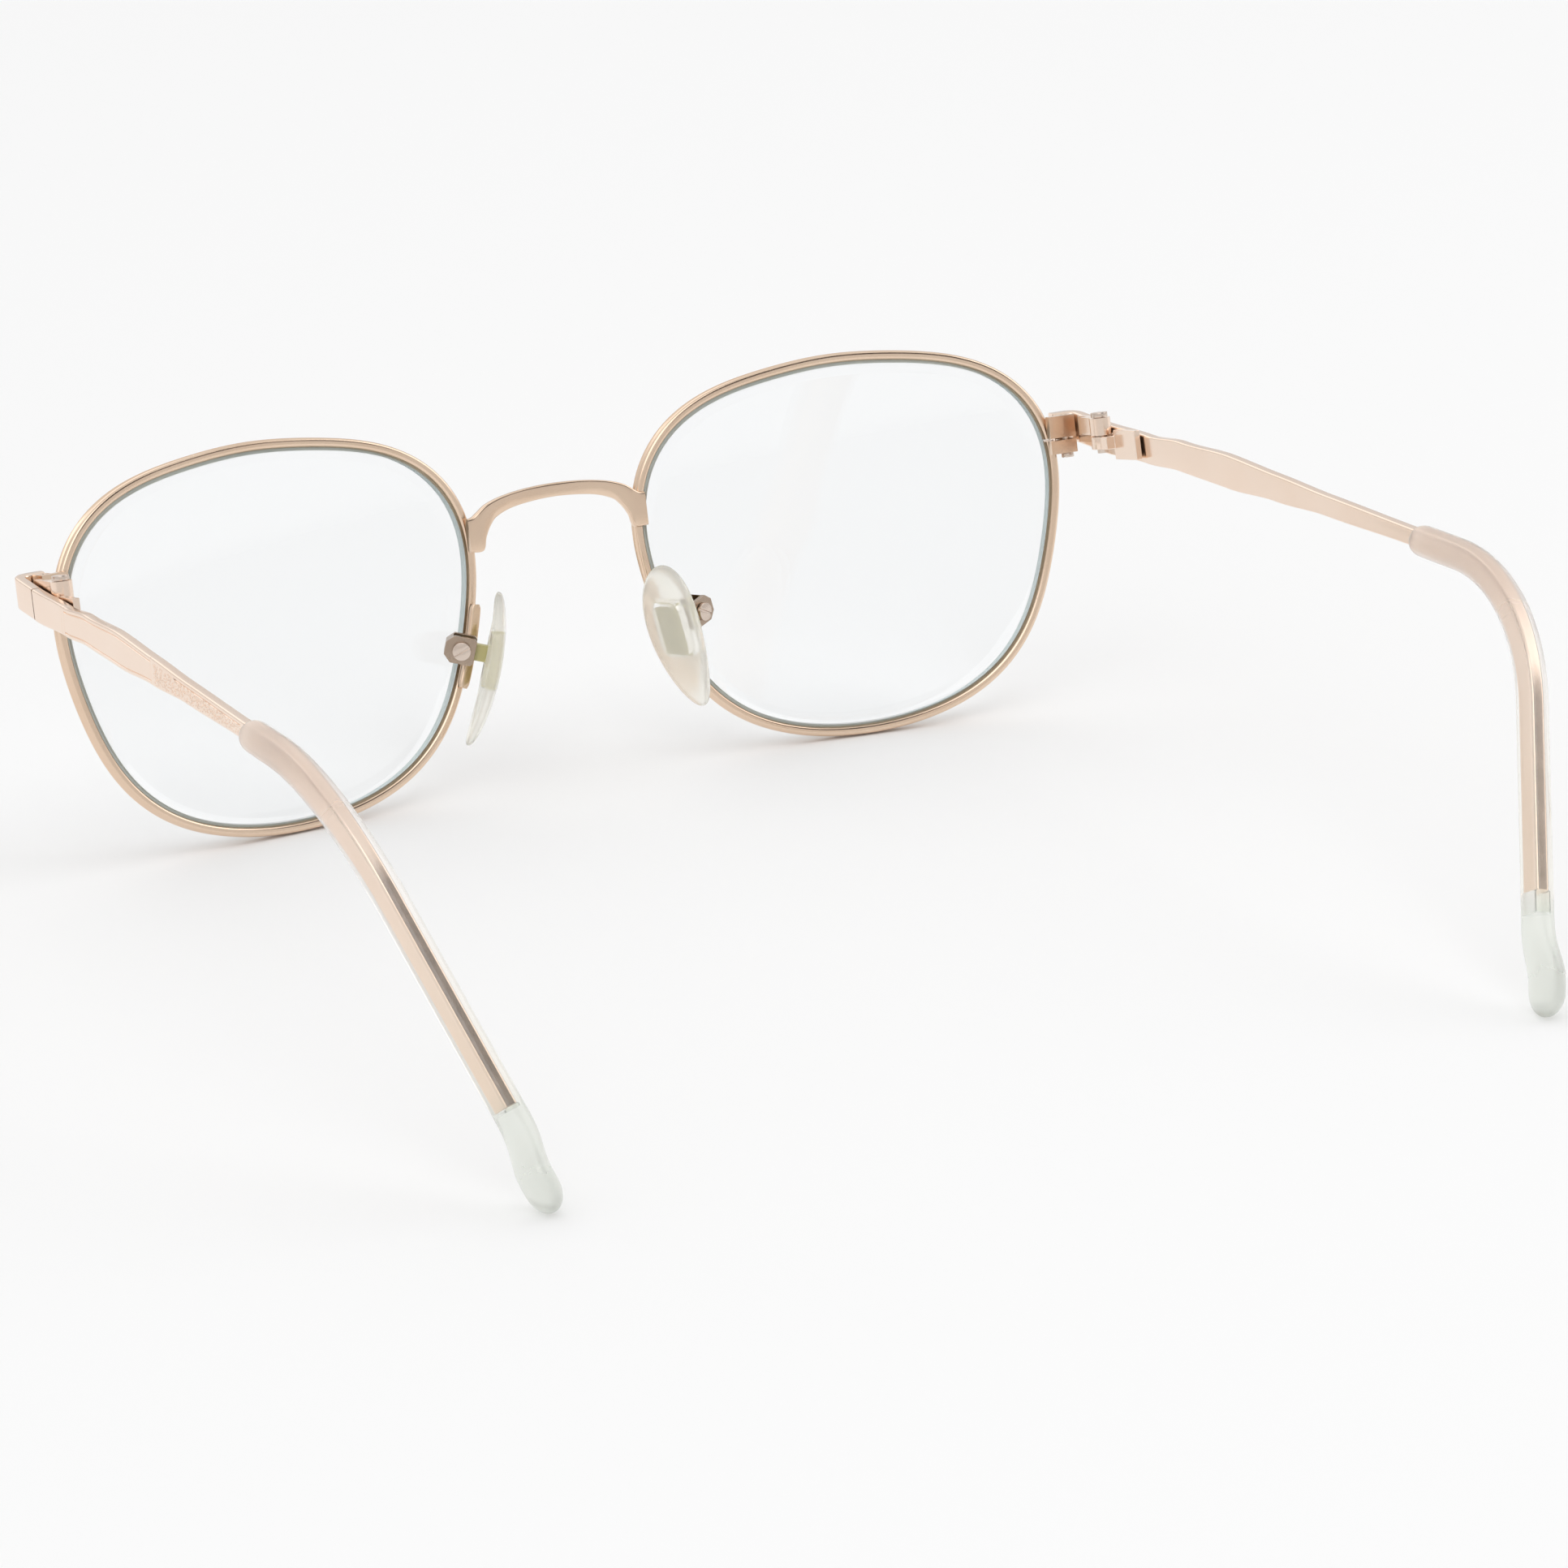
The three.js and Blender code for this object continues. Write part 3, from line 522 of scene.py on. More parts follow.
def addRim(side, frames):
    obj = emptyObject("rimWire_" + side)
    nodesOn(obj, rimWire,
            Radius=outline["radius"], Oval=outline["oval"], Pear=outline["pear"], Square=outline["square"],
            Shoulder=outline["shoulder"], Flat=outline["flat"],
            Start=outlineAngleAt(split["height"] + split["gap"] / 2),
            End=outlineAngleAt(split["height"] - split["gap"] / 2) + 2 * math.pi,
            CurveRadius=float(face["curveRadius"]),
            HalfWide=(rim["inner"] + rim["outer"]) / 2, HalfDeep=rim["depth"],
            Shift=(rim["outer"] - rim["inner"]) / 2,
            GrooveDepth=rim["grooveDepth"], GrooveLip=rim["lip"], Steps=rim["steps"], Material=rimGold)
    settle(obj, 30)
    obj.data.transform(frames["lens"] @ lensAxes)
    faceOut(obj.data)
    finishPiece(obj, rimGold, "rose_gold", "rim_" + side)


# The lenses: curved blanks with a ridge round the edge that sits in the groove.

def addLens(side, frames):
    half = lens["halfThickness"]
    count = lens["segments"]
    faceShares = lens["faceShares"]

    def ring(share, inset, depth):
        points = []
        for i in range(count):
            p = outlinePoint(2 * math.pi * i / count, -inset) * share
            points.append(facePoint(p.x, p.y, depth))
        return points

    inset = lens["edgeInset"]
    rings = [ring(s, inset, -half) for s in faceShares]
    rings.append(ring(1, inset, -half + lens["bevel"]))
    rings.append(ring(1, inset, -lens["ridgeHalf"]))
    rings.append(ring(1, lens["ridgeInset"], 0))
    rings.append(ring(1, inset, lens["ridgeHalf"]))
    rings.append(ring(1, inset, half - lens["bevel"]))
    rings += [ring(s, inset, half) for s in reversed(faceShares)]
    obj = shell("lensBlank_" + side, rings, frames["lens"])
    settle(obj, 30)
    # the ground edge is matt, the two faces are polished
    obj.data.materials.append(lensGlass)
    obj.data.materials.append(groundEdge)
    edgeFrom = len(faceShares)
    edgeRows = range(edgeFrom, edgeFrom + 4)
    for polygon in obj.data.polygons:
        row = min(polygon.vertices) // count
        polygon.material_index = int(row in edgeRows and len(polygon.vertices) == 4)
    finishPiece(obj, None, "lens_glass", "lens_" + side)


# The bridge: an arched plate, wider at its feet.

bridge = {"thickness": 0.95, "back": 4.1, "bow": 0.6, "bowHalf": 9, "edge": 0.26,
          "top": [(10.75, 8.8), (10.1, 8.9), (9.4, 9.35), (8.2, 10.1), (6.2, 10.7), (3.4, 11.1), (0, 11.25)],
          "under": [(10.75, 5.1), (9.2, 5.1), (8.7, 6.5), (7.95, 7.75), (6.9, 8.65), (4.4, 9.4), (0, 9.75)]}


def throughPoints(points, t):
    # a smooth curve through the points, t from 0 to their count less one
    i = min(int(t), len(points) - 2)
    f = t - i
    p = [Vector(points[min(max(k, 0), len(points) - 1)]) for k in (i - 1, i, i + 1, i + 2)]
    a = 2 * p[1]
    b = p[2] - p[0]
    c = 2 * p[0] - 5 * p[1] + 4 * p[2] - p[3]
    d = -p[0] + 3 * p[1] - 3 * p[2] + p[3]
    return (a + b * f + c * f * f + d * f ** 3) / 2


def addBridge(frames):
    def mirrored(points):
        return points + [(-x, z) for x, z in reversed(points[:-1])]

    top = mirrored(bridge["top"])
    under = mirrored(bridge["under"])
    rings = []
    for t in evenSteps(0, len(top) - 1, 1 / 8) + [len(top) - 1]:
        a = throughPoints(top, t)
        b = throughPoints(under, t)
        rung = a - b
        middle = (a + b) / 2
        bow = bridge["bow"] * (1 - min(abs(middle.x) / bridge["bowHalf"], 1) ** 2)
        section = roundedBox(bridge["thickness"] / 2, rung.length / 2, bridge["edge"], 4)
        lift = rung.normalized()
        ring = []
        for depth, rise in section:
            spot = middle + lift * rise
            ring.append((spot.x, bridge["back"] + depth - bow, spot.y))
        rings.append(ring)
    obj = shell("bridgeSaddle", rings, frames["front"])
    settle(obj, 35)
    finishPiece(obj, rimGold, "rose_gold", "bridge")


# The end pieces: a strip from the closing block round the corner.

strip = {"thickness": 1.15, "tall": 3.4, "cornerRadius": 0.75, "edge": 0.22}
endPiece = {"legStart": 25.75, "jointBack": 6.45, "legSteps": 4, "bendSteps": 12, "backSteps": 8}


def addEndPiece(side, frames):
    half = strip["thickness"] / 2
    splay = math.radians(corner["splay"])
    tangent = (strip["cornerRadius"] + half) * math.tan((math.pi / 2 - splay) / 2)
    leg = Vector((-math.cos(splay), -math.sin(splay)))
    bend = Vector((-half, half * (1 - math.sin(splay)) / math.cos(splay)))
    legEnd = bend + leg * (corner["across"] - half - endPiece["legStart"])
    bendIn = bend + leg * tangent
    bendOut = bend + Vector((0, tangent))
    joint = Vector((bend.x, endPiece["jointBack"]))
    legSteps = endPiece["legSteps"]
    bendSteps = endPiece["bendSteps"]
    backSteps = endPiece["backSteps"]
    path = [mix(legEnd, bendIn, i / legSteps) for i in range(legSteps)]
    for t in (i / bendSteps for i in range(bendSteps)):
        path.append(bendIn * (1 - t) ** 2 + bend * 2 * t * (1 - t) + bendOut * t * t)
    path += [mix(bendOut, joint, i / backSteps) for i in range(backSteps + 1)]
    slope = math.tan(math.radians(corner["drop"]))
    rings = []
    for i, at in enumerate(path):
        way = (path[min(i + 1, len(path) - 1)] - path[max(i - 1, 0)]).normalized()
        ring = []
        for out, rise in roundedBox(half, strip["tall"] / 2, strip["edge"]):
            x = at.x + way.y * out
            y = at.y - way.x * out
            ring.append((x, y, rise - strip["tall"] / 2 - max(y, 0) * slope))
        rings.append(ring)
    obj = shell("endStrip_" + side, rings, frames["end"])
    settle(obj, 35)
    finishPiece(obj, roseGold, "rose_gold", "end_piece_" + side)


# Machined parts, copied from the frame with their edges eased.

machined = {
    "closingBlockUpper_": {"node": "upper_closing_block_", "easedEdge": 0.14, "finish": rimGold},
    "closingBlockLower_": {"node": "lower_closing_block_", "easedEdge": 0.14, "finish": rimGold},
    "hingeBarrelFront_": {"node": "front_hinge_", "easedEdge": 0.1, "finish": roseGold},
    "hingeBarrelTemple_": {"node": "temple_hinge_", "easedEdge": 0.1, "finish": roseGold},
    "padBoxShell_": {"node": "pad_box_", "easedEdge": 0.16, "finish": boxMetal},
}


def addMachined(side):
    for name, part in machined.items():
        obj = softened(name + side, part["node"] + side, part["easedEdge"])
        finishPiece(obj, part["finish"], "rose_gold", part["node"] + side)


# Screws: a round head with a slot, on a plain shank.

screws = {
    "closing": {"head": 0.7, "tall": 0.45, "shank": 0.4, "length": 4.35, "slot": 0.2},
    "hinge": {"head": 0.95, "tall": 0.5, "shank": 0.6, "length": 4.1, "slot": 0.26},
    "pad": {"head": 1.0, "tall": 0.45, "shank": 0.4, "length": 2.38, "slot": 0.24},
}


def screwTree():
    sizes = [("Head Radius", 1), ("Head Height", 0.4), ("Shank Radius", 0.5), ("Shank Length", 3),
             ("Slot Width", 0.2), ("Slot Depth", 0.2)]
    inputs = [(n, "NodeSocketFloat", v) for n, v in sizes] + [("Material", "NodeSocketMaterial", None)]
    outputs = [("Geometry", "NodeSocketGeometry")]
    tree, given, out = newGroup("slottedScrew", "GeometryNodeTree", inputs, outputs)
    g = given.outputs

    def lifted(geometry, height):
        offset = addNode(tree, "ShaderNodeCombineXYZ", {"Z": height})
        return addNode(tree, "GeometryNodeTransform", {
            "Geometry": geometry, "Translation": offset.outputs[0]}).outputs[0]

    head = addNode(tree, "GeometryNodeMeshCylinder", {
        "Vertices": 40, "Radius": g["Head Radius"], "Depth": g["Head Height"]})
    headUp = lifted(head.outputs[0], calc(tree, "MULTIPLY", g["Head Height"], 0.5))
    slotSize = addNode(tree, "ShaderNodeCombineXYZ", {
        "X": calc(tree, "MULTIPLY", g["Head Radius"], 2.4), "Y": g["Slot Width"],
        "Z": calc(tree, "MULTIPLY", g["Slot Depth"], 2.0)})
    slotBar = addNode(tree, "GeometryNodeMeshCube", {"Size": slotSize.outputs[0]})
    slotUp = lifted(slotBar.outputs[0], g["Head Height"])
    slotted = addNode(tree, "GeometryNodeMeshBoolean", operation="DIFFERENCE")
    tree.links.new(headUp, slotted.inputs[0])
    tree.links.new(slotUp, slotted.inputs[1])
    shank = addNode(tree, "GeometryNodeMeshCylinder", {
        "Vertices": 32, "Radius": g["Shank Radius"], "Depth": g["Shank Length"]})
    halfShank = calc(tree, "MULTIPLY", g["Shank Length"], 0.5)
    shankDown = lifted(shank.outputs[0], calc(tree, "SUBTRACT", 0.05, halfShank))   # just into the head
    both = addNode(tree, "GeometryNodeJoinGeometry")
    tree.links.new(slotted.outputs[0], both.inputs[0])
    tree.links.new(shankDown, both.inputs[0])
    endTree(tree, given, out, both.outputs[0])
    return tree


slottedScrew = screwTree()


def addScrew(name, kind, place, node):
    # the tree draws the screw standing up, with the seat of its head at the origin
    s = screws[kind]
    obj = emptyObject(name)
    nodesOn(obj, slottedScrew, HeadRadius=s["head"], HeadHeight=s["tall"], ShankRadius=s["shank"],
            ShankLength=s["length"], SlotWidth=s["slot"], SlotDepth=s["tall"] * 0.45, Material=screwMetal)
    settle(obj)
    ease = obj.modifiers.new("easedEdges", "BEVEL")
    ease.width = 0.07
    ease.segments = 2
    ease.limit_method = "ANGLE"
    ease.angle_limit = math.radians(40)
    settle(obj)
    obj.data.transform(place)
    faceOut(obj.data)
    finishPiece(obj, screwMetal, "screw_metal", node)


pin = {"inset": 2.5, "back": 9.3, "top": -0.42, "slotTurn": 25}
closingScrew = {"across": 26.55, "back": 3.7, "seat": 6.05, "slotTurn": 35}
padPin = {"across": 2.75, "height": 1.7, "seat": 1.38, "slotTurn": 40}


def addScrews(side, frames):
    seat = Matrix.Translation((closingScrew["across"], closingScrew["back"], closingScrew["seat"]))
    headDown = turned(180, "X") @ turned(closingScrew["slotTurn"], "Z")
    place = frames["lens"] @ seat @ headDown
    addScrew("closingScrewSlotted_" + side, "closing", place, "closing_screw_" + side)
    seat = Matrix.Translation((-pin["inset"], pin["back"], pin["top"]))
    headUp = turned(pin["slotTurn"], "Z")
    place = frames["end"] @ seat @ headUp
    addScrew("hingeScrewSlotted_" + side, "hinge", place, "hinge_screw_" + side)
    seat = Matrix.Translation((padPin["across"], padPin["seat"], padPin["height"]))
    headBack = turned(-90, "X") @ turned(padPin["slotTurn"], "Z")
    place = frames["pad"] @ seat @ headBack
    addScrew("padScrewSlotted_" + side, "pad", place, "pad_screw_" + side)


# The temples: a strip with an engraved face, and the wire that runs on inside the sleeve.

# distance from the corner, middle height, full height
templeStations = [(6.75, -1.7, 3.4), (17, -1.2, 3.2), (24, -0.6, 3.35), (34, -0.3, 3.75), (44, -0.1, 3),
                  (54, 0.05, 2.3), (71, 0.15, 1.9)]
earBend = {"along": 92.5, "radius": 22, "down": 56.8, "inward": 31.7}
core = {"start": 66, "slimming": 8, "tall": 1.9, "thickness": 1.2, "tail": {"left": 22.4, "right": 20.4}}
leanEnd = 20      # the strip's slanted butt end straightens out by here
engraving = {"crossLines": (16.1, 16.9, 43.8), "depth": 0.13, "halfWide": 0.09, "inset": 0.48,
             "upper": ((17, 43.8), (51, 70)), "lower": ((17, 43.8),)}

earDown = math.radians(earBend["down"])
earIn = math.radians(earBend["inward"])
straightWay = Vector((0, 1, 0))
level = math.cos(earDown)
tailWay = Vector((-math.sin(earIn) * level, math.cos(earIn) * level, -math.sin(earDown)))
bendTurn = straightWay.angle(tailWay)
bendStart = earBend["along"] - earBend["radius"] * math.tan(bendTurn / 2)
tailStart = bendStart + earBend["radius"] * bendTurn


def templeStation(along):
    last = templeStations[-1]
    if along >= last[0]:
        return last[1], mix(last[2], core["tall"], smoothStep((along - last[0]) / 6))
    for a, b in zip(templeStations, templeStations[1:]):
        if along <= b[0]:
            t = smoothStep((along - a[0]) / (b[0] - a[0]))
            return mix(a[1], b[1], t), mix(a[2], b[2], t)


def besideLine(along, side, rise):
    at = Vector((-strip["thickness"] / 2, min(along, bendStart), 0))
    way = straightWay.copy()
    if along > bendStart:
        across = (tailWay - straightWay * math.cos(bendTurn)).normalized()
        angle = min((along - bendStart) / earBend["radius"], bendTurn)
        at += straightWay * earBend["radius"] * math.sin(angle)
        at += across * earBend["radius"] * (1 - math.cos(angle))
        way = straightWay * math.cos(angle) + across * math.sin(angle)
        at += tailWay * max(along - tailStart, 0)
    outward = (Vector((1, 0, 0)) - way * way.x).normalized()
    return at + outward * side + outward.cross(way) * rise


def templeSection(halfThick, halfTall, along):
    # rounded strip with fine grooves near the top and foot of its outer face
    radius = min(strip["edge"], halfThick * 0.5)
    points = roundedBox(halfThick, halfTall, radius)
    perCorner = 5
    grooved = []
    for key, sign in (("lower", -1), ("upper", 1)):
        inside = any(a <= along <= b for a, b in engraving[key])
        middle = sign * (halfTall - engraving["inset"])
        for step in (-1, 0, 1):
            depth = engraving["depth"] if inside and step == 0 else 0
            grooved.append((halfThick - depth, middle + step * engraving["halfWide"]))
    points = points[:perCorner] + grooved + points[perCorner:]
    crossed = any(abs(along - line) < 1e-6 for line in engraving["crossLines"])
    if crossed:
        points = [(min(x, halfThick - engraving["depth"]), y) for x, y in points]
    return points


def templeRows(end):
    rows = evenSteps(templeStations[0][0], 74, 0.5) + evenSteps(74, end, 0.8) + [end]
    for line in engraving["crossLines"]:
        rows += [line - engraving["halfWide"], line, line + engraving["halfWide"]]
    for a, b in engraving["upper"]:
        rows += [a, b]
    return sorted(set(rows))


def addTemple(side, frames):
    end = tailStart + core["tail"][side]
    rings = []
    for along in templeRows(end):
        middle, tall = templeStation(along)
        slimmed = smoothStep((along - core["start"]) / core["slimming"])
        thick = mix(strip["thickness"], core["thickness"], slimmed)
        lean = clamp((leanEnd - along) / (leanEnd - templeStations[0][0]))
        lean *= math.tan(math.radians(corner["drop"]))
        ring = []
        for out, rise in templeSection(thick / 2, tall / 2, along):
            ring.append(besideLine(along - (middle + rise) * lean, out, middle + rise))
        rings.append(ring)
    obj = shell("templeStrip_" + side, rings, frames["temple"])
    settle(obj, 30)
    finishPiece(obj, roseGold, "rose_gold", "temple_" + side)


# The narrow stretch of each temple is stippled with fine raised dots.
stipple = {"start": 44.6, "end": 70.5, "foot": 0.3, "inset": 0.5, "density": 13.0, "dot": 0.1, "seed": 7}


def stippleTree():
    tree, given, out = newGroup(
        "stippledFace", "GeometryNodeTree",
        [("Geometry", "NodeSocketGeometry", None), ("Density", "NodeSocketFloat", 10),
         ("Dot Radius", "NodeSocketFloat", 0.1), ("Seed", "NodeSocketInt", 1),
         ("Material", "NodeSocketMaterial", None)],
        [("Geometry", "NodeSocketGeometry")],
    )
    g = given.outputs
    spots = addNode(tree, "GeometryNodeDistributePointsOnFaces", {
        "Mesh": g["Geometry"], "Density": g["Density"], "Seed": g["Seed"]})
    dot = addNode(tree, "GeometryNodeMeshIcoSphere", {"Radius": g["Dot Radius"], "Subdivisions": 1})
    scale = addNode(tree, "FunctionNodeRandomValue", {"Seed": g["Seed"]}, data_type="FLOAT_VECTOR")
    scale.inputs[0].default_value = (0.6, 0.6, 0.35)
    scale.inputs[1].default_value = (1.3, 1.3, 0.6)
    laid = addNode(tree, "GeometryNodeInstanceOnPoints", {
        "Points": spots.outputs["Points"], "Instance": dot.outputs[0],
        "Rotation": spots.outputs["Rotation"], "Scale": scale.outputs[0]})
    endTree(tree, given, out, laid.outputs[0])
    return tree


stippledFace = stippleTree()


def addStipple(side, frames):
    points, faces = [], []
    rows = evenSteps(stipple["start"], stipple["end"], 1) + [stipple["end"]]
    for along in rows:
        middle, tall = templeStation(along)
        half = tall / 2 - stipple["inset"]
        for rise in (-tall / 2 + stipple["foot"], half):
            points.append(besideLine(along, strip["thickness"] / 2, middle + rise))
    for i in range(len(rows) - 1):
        faces.append((2 * i, 2 * i + 2, 2 * i + 3, 2 * i + 1))
    mesh = bpy.data.meshes.new("templeStipple_" + side)
    mesh.from_pydata(points, [], faces)
    obj = bpy.data.objects.new("templeStipple_" + side, mesh)
    bpy.context.scene.collection.objects.link(obj)
    nodesOn(obj, stippledFace, Density=stipple["density"], DotRadius=stipple["dot"], Seed=stipple["seed"],
            Material=roseGold)
    settle(obj, 60)
    obj.data.transform(frames["temple"])
    faceOut(obj.data, 1e-9)
    finishPiece(obj, roseGold, "rose_gold", body=bodyOf["temple_" + side])


# The clear sleeves.

sleeve = {"start": 71.8, "collar": 1.5, "tall": 3.4, "thick": 3.4, "tail": 33.4, "channel": 22.8,
          "grip": 0.06, "clearance": 0.16, "lipShare": 0.8, "square": 0.3, "outerStep": 0.9,
          "innerStep": 0.6, "around": 48}
paddle = {"tall": 5.2, "thick": 3.3, "start": 0.68, "fullBefore": 4, "cap": 2.6, "lean": 0.9}


def sleeveSize(along):
    end = tailStart + sleeve["tail"]
    paddleStart = tailStart + sleeve["tail"] * paddle["start"]
    grow = smoothStep((along - paddleStart) / (end - paddle["fullBefore"] - paddleStart))
    collar = clamp((along - sleeve["start"]) / sleeve["collar"])
    collar = mix(sleeve["lipShare"], 1, math.sqrt(1 - (1 - collar) ** 2))
    intoCap = max(along - (end - paddle["cap"]), 0) / (paddle["cap"] + 0.01)
    scale = collar * math.sqrt(max(1 - intoCap ** 2, 0.0)) / 2
    tall = mix(sleeve["tall"], paddle["tall"], grow) * scale
    thick = mix(sleeve["thick"], paddle["thick"], grow) * scale
    return tall, thick, paddle["lean"] * grow * grow


def addSleeve(side, frames):
    end = tailStart + sleeve["tail"]
    channelEnd = tailStart + sleeve["channel"]
    around = sleeve["around"]
    turns = [2 * math.pi * (j + 0.5) / around for j in range(around)]

    def outerRing(along):
        tall, thick, lean = sleeveSize(along)
        return [besideLine(along, math.cos(a) * thick + lean, math.sin(a) * tall) for a in turns]

    wireEnd = tailStart + core["tail"][side]

    def innerRing(along, share=1):
        # the sleeve grips the wire, and the channel is empty past the wire's end
        middle, tall = templeStation(along)
        slack = -sleeve["grip"] if along < wireEnd else sleeve["clearance"]
        halfTall = (tall / 2 + slack) * share
        halfThick = (core["thickness"] / 2 + slack) * share
        ring = []
        for a in turns:
            c, s = math.cos(a), math.sin(a)
            out = math.copysign(abs(c) ** sleeve["square"], c) * halfThick
            rise = math.copysign(abs(s) ** sleeve["square"], s) * halfTall
            ring.append(besideLine(along, out, middle + rise))
        return ring

    start = sleeve["start"]
    collarRows = [start + sleeve["collar"] * t for t in (0, 0.04, 0.12, 0.25, 0.45, 0.7)]
    outerRows = collarRows + evenSteps(start + sleeve["collar"], end - paddle["cap"], sleeve["outerStep"])
    capTurns = (0, 15, 30, 42, 54, 64, 73, 81, 87)
    capRows = [end - paddle["cap"] * (1 - math.sin(math.radians(t))) for t in capTurns]
    step = sleeve["innerStep"]
    before = wireEnd - 0.05
    after = wireEnd + 0.05
    innerRows = evenSteps(start, before, step) + [before]
    innerRows += evenSteps(after, channelEnd, step) + [channelEnd]
    rows = list(reversed(innerRows)) + outerRows + capRows
    rings = [innerRing(channelEnd, 0.5)]
    rings += [innerRing(a) for a in reversed(innerRows)]
    rings += [outerRing(a) for a in outerRows + capRows]
    obj = shell("templeSleeve_" + side, rings, frames["temple"])
    settle(obj, 40)
    rows = [channelEnd] + rows
    span = end - start
    values = []
    for along in rows:
        values += [(along - start) / span] * around
    attribute = obj.data.attributes.new("along", "FLOAT", "POINT")
    if len(values) != len(obj.data.vertices):
        raise RuntimeError("the sleeve's rows and its points no longer match")
    attribute.data.foreach_set("value", values)
    finishPiece(obj, sleevePlastic, "sleeve_plastic", "temple_sleeve_" + side)


# The nose pads.

cushion = {"halfLength": 8.7, "halfWidth": 3.75, "taper": 0.24, "halfThickness": 1, "bow": 0.95,
           "edgePower": 0.8, "crownPower": 0.75, "backShare": 0.88, "around": 72}
padCore = {"height": 1.5, "easedEdge": 0.22}
pocket = {"halfLength": 3.4, "halfWidth": 1.95, "floor": -1.62, "square": 0.45}


def addCushion(side, frames):
    c = cushion

    def ring(share, depth):
        points = []
        for i in range(c["around"]):
            a = 2 * math.pi * i / c["around"]
            width = share * c["halfWidth"] * math.cos(a) * (1 + c["taper"] * math.sin(a))
            height = share * c["halfLength"] * math.sin(a)
            points.append((depth - c["bow"] * (1 - (height / c["halfLength"]) ** 2), width, height))
        return points

    def pocketRing(share, depth):
        points = []
        for i in range(c["around"]):
            a = 2 * math.pi * i / c["around"]
            ca, sa = math.cos(a), math.sin(a)
            y = math.copysign(abs(ca) ** pocket["square"], ca) * pocket["halfWidth"] * share
            rise = math.copysign(abs(sa) ** pocket["square"], sa) * pocket["halfLength"] * share
            z = padCore["height"] + rise
            points.append((depth, y, z))
        return points

    thick = c["halfThickness"]
    rings = []
    for t in (2, 12, 25, 38, 50, 60, 70, 78, 85):
        a = math.radians(t)
        rings.append(ring(math.sin(a) ** c["edgePower"], -thick * math.cos(a) ** c["crownPower"]))
    rings.append(ring(1, 0))
    for t in (85, 76, 66, 56):
        a = math.radians(t)
        depth = thick * c["backShare"] * math.cos(a) ** c["crownPower"]
        rings.append(ring(math.sin(a) ** c["edgePower"], depth))
    edgeDepth = -c["bow"] + thick * 0.86
    rings.append(pocketRing(1.12, edgeDepth + 0.12))
    rings.append(pocketRing(1, edgeDepth - 0.05))
    rings.append(pocketRing(1, pocket["floor"] + 0.1))
    rings.append(pocketRing(0.9, pocket["floor"]))
    obj = shell("padCushion_" + side, rings, frames["pad"])
    settle(obj, 45)
    finishPiece(obj, silicone, "silicone", "pad_cushion_" + side)


def addCore(side):
    obj = softened("padCoreEye_" + side, "pad_core_" + side, padCore["easedEdge"])
    finishPiece(obj, corePlastic, "core_plastic", "pad_core_" + side)


# The pad arms: a soldered foot and a bent wire.

padFoot = {"top": -0.6, "bottom": -9.4, "wide": 1.1, "thick": 0.8, "solderGap": 0.25, "edge": 0.2}
padWire = {"radius": 0.45, "rise": 1, "lead": 1.1, "around": 20, "steps": 36}
padBox = {"halfWidth": 1.3}


def footPoint(height, offset, depth):
    angle = math.pi + math.asin(-height / outline["radius"]) * 0.99
    edge = outlinePoint(angle, offset)
    return facePoint(edge.x, edge.y, rim["depth"] + padFoot["solderGap"] + depth)


def addPadArm(side, frames):
    rings = []
    thick = padFoot["thick"]
    count = 24
    for i in range(count + 1):
        height = mix(padFoot["top"], padFoot["bottom"], i / count)
        fromEnd = min(i, count - i) / 2
        size = math.sqrt(clamp(1 - (1 - min(fromEnd, 1)) ** 2)) * 0.3 + 0.7
        section = roundedBox(padFoot["wide"] / 2 * size, thick / 2, padFoot["edge"])
        rings.append([footPoint(height, out, thick / 2 + up) for out, up in section])
    foot = shell("padArmWire_" + side, rings, frames["lens"])

    padToLens = frames["lens"].inverted() @ frames["pad"]
    start = footPoint((padFoot["top"] + padFoot["bottom"]) / 2, 0, thick / 2)
    low = padPin["height"] - 0.3
    end = padToLens @ Vector((padPin["across"] + 0.3, -padBox["halfWidth"] - 0.3, low))
    knee = padToLens @ Vector((padPin["across"] + 0.3, -padBox["halfWidth"] - padWire["lead"], low))
    bends = [start, start + Vector((0, padWire["rise"], 0)), knee, end]

    def onWire(t):
        s = 1 - t
        return bends[0] * s ** 3 + bends[1] * 3 * s * s * t + bends[2] * 3 * s * t * t + bends[3] * t ** 3

    rings = []
    across = Vector((1, 0, 0))
    for i in range(padWire["steps"] + 1):
        t = i / padWire["steps"]
        way = (onWire(min(t + 0.01, 1)) - onWire(max(t - 0.01, 0))).normalized()
        across = (across - way * across.dot(way)).normalized()
        other = way.cross(across)
        ring = []
        for j in range(padWire["around"]):
            a = 2 * math.pi * j / padWire["around"]
            ring.append(onWire(t) + (across * math.cos(a) + other * math.sin(a)) * padWire["radius"])
        rings.append(ring)
    wire = shell("padArmBend", rings, frames["lens"])
    obj = joinInto(foot, wire)
    settle(obj, 40)
    finishPiece(obj, rimGold, "rose_gold", "pad_arm_" + side)


for side, mirror in sides.items():
    frames = halfFrames(mirror)
    addRim(side, frames)
    addLens(side, frames)
    addEndPiece(side, frames)
    addMachined(side)
    addScrews(side, frames)
    addTemple(side, frames)
    addStipple(side, frames)
    addSleeve(side, frames)
    addCushion(side, frames)
    addCore(side)
    addPadArm(side, frames)
    print(side, "half made")
addBridge(halfFrames(1))
print("bridge made")


# The setting: floor, light and camera.

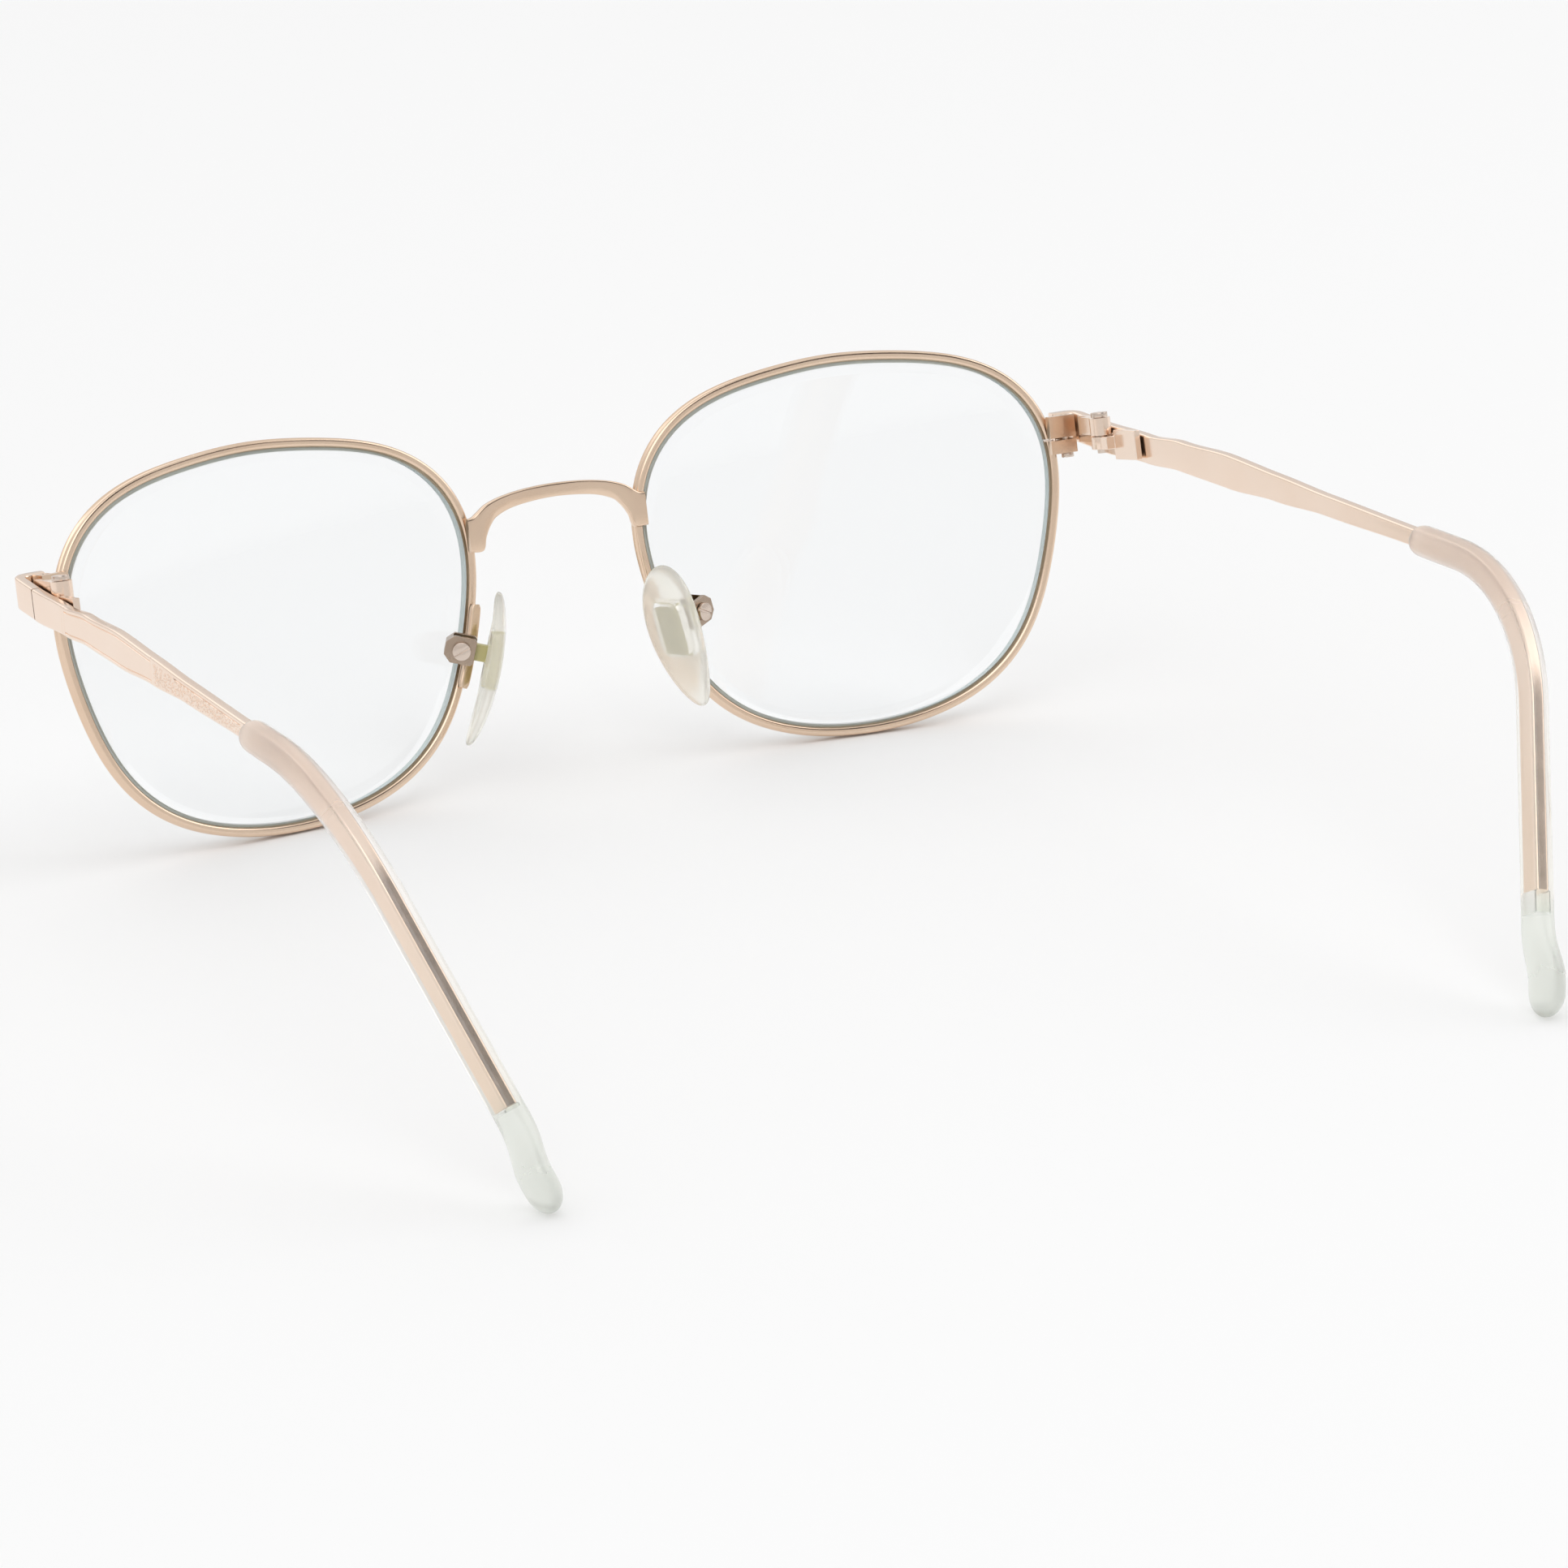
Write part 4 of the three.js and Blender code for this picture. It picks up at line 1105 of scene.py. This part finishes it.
studio = {"floorColour": (0.93, 0.93, 0.93), "floorSize": 6.0, "aim": (0, 0, 0.02), "worldStrength": 0.85,
          "flagAt": (-0.32, 0.68, 0.66), "flagEdge": 0.925, "flagFull": 0.965,
          "flagDark": (0.03, 0.02, 0.015)}
lamps = {
    "keyPanel": {"at": (0.5, 0.9, 1.3), "size": 1.4, "power": 6},
    "sidePanel": {"at": (-1.1, 0.2, 0.8), "size": 1.0, "power": 3},
    "frontPanel": {"at": (0.2, -1.2, 0.9), "size": 1.2, "power": 2},
}
cameraSet = {"at": (0.36291, 0.73009, 0.30624), "turn": (70.385, 0.449, 153.455), "lens": 189.86}


def paintRoom(tree):
    # a pale room, darker towards the horizon
    # one dark flag hangs high on the camera's side, for the metal to mirror
    way = addNode(tree, "ShaderNodeTexCoord").outputs["Generated"]
    height = addNode(tree, "ShaderNodeSeparateXYZ", {"Vector": way}).outputs["Z"]
    room = addNode(tree, "ShaderNodeValToRGB", {"Fac": height})
    room.color_ramp.elements[0].color = (0.8, 0.8, 0.8, 1)
    room.color_ramp.elements[1].color = (1, 1, 1, 1)
    room.color_ramp.elements[1].position = 0.6
    near = addNode(tree, "ShaderNodeVectorMath", {0: way, 1: Vector(studio["flagAt"]).normalized()},
                   operation="DOT_PRODUCT")
    inFlag = addNode(tree, "ShaderNodeMapRange", {
        "Value": near.outputs["Value"], "From Min": studio["flagEdge"], "From Max": studio["flagFull"]})
    blend = addNode(tree, "ShaderNodeMix", data_type="RGBA")
    tree.links.new(inFlag.outputs[0], blend.inputs[0])
    tree.links.new(room.outputs[0], blend.inputs[6])
    blend.inputs[7].default_value = (*studio["flagDark"], 1)
    tree.links.new(blend.outputs[2], tree.nodes["Background"].inputs["Color"])
    tree.nodes["Background"].inputs["Strength"].default_value = studio["worldStrength"]


def addSetting():
    half = studio["floorSize"] / 2
    corners = [(-half, -half, 0), (half, -half, 0), (half, half, 0), (-half, half, 0)]
    floor = meshObject("paleFloor", corners, [(0, 1, 2, 3)])
    paint = bpy.data.materials.new("palePaper")
    paint.use_nodes = True
    shader = paint.node_tree.nodes["Principled BSDF"]
    shader.inputs["Base Color"].default_value = (*studio["floorColour"], 1)
    shader.inputs["Roughness"].default_value = 0.9
    shader.inputs["Specular IOR Level"].default_value = 0.1
    floor.data.materials.append(paint)
    world = bpy.data.worlds.new("softRoom")
    world.use_nodes = True
    paintRoom(world.node_tree)
    bpy.context.scene.world = world
    aim = Vector(studio["aim"])
    for name, lamp in lamps.items():
        light = bpy.data.lights.new(name, "AREA")
        light.size = lamp["size"]
        light.energy = lamp["power"]
        obj = bpy.data.objects.new(name, light)
        obj.location = lamp["at"]
        obj.rotation_euler = (aim - Vector(lamp["at"])).to_track_quat("-Z", "Y").to_euler()
        bpy.context.scene.collection.objects.link(obj)
    camera = bpy.data.cameras.new("camera")
    camera.lens = cameraSet["lens"]
    camera.sensor_width = 36
    camera.clip_start = 0.01
    obj = bpy.data.objects.new("camera", camera)
    obj.location = cameraSet["at"]
    obj.rotation_euler = [math.radians(a) for a in cameraSet["turn"]]
    bpy.context.scene.collection.objects.link(obj)
    bpy.context.scene.camera = obj
    bpy.context.scene.view_settings.view_transform = "Standard"


addSetting()
print("setting made")
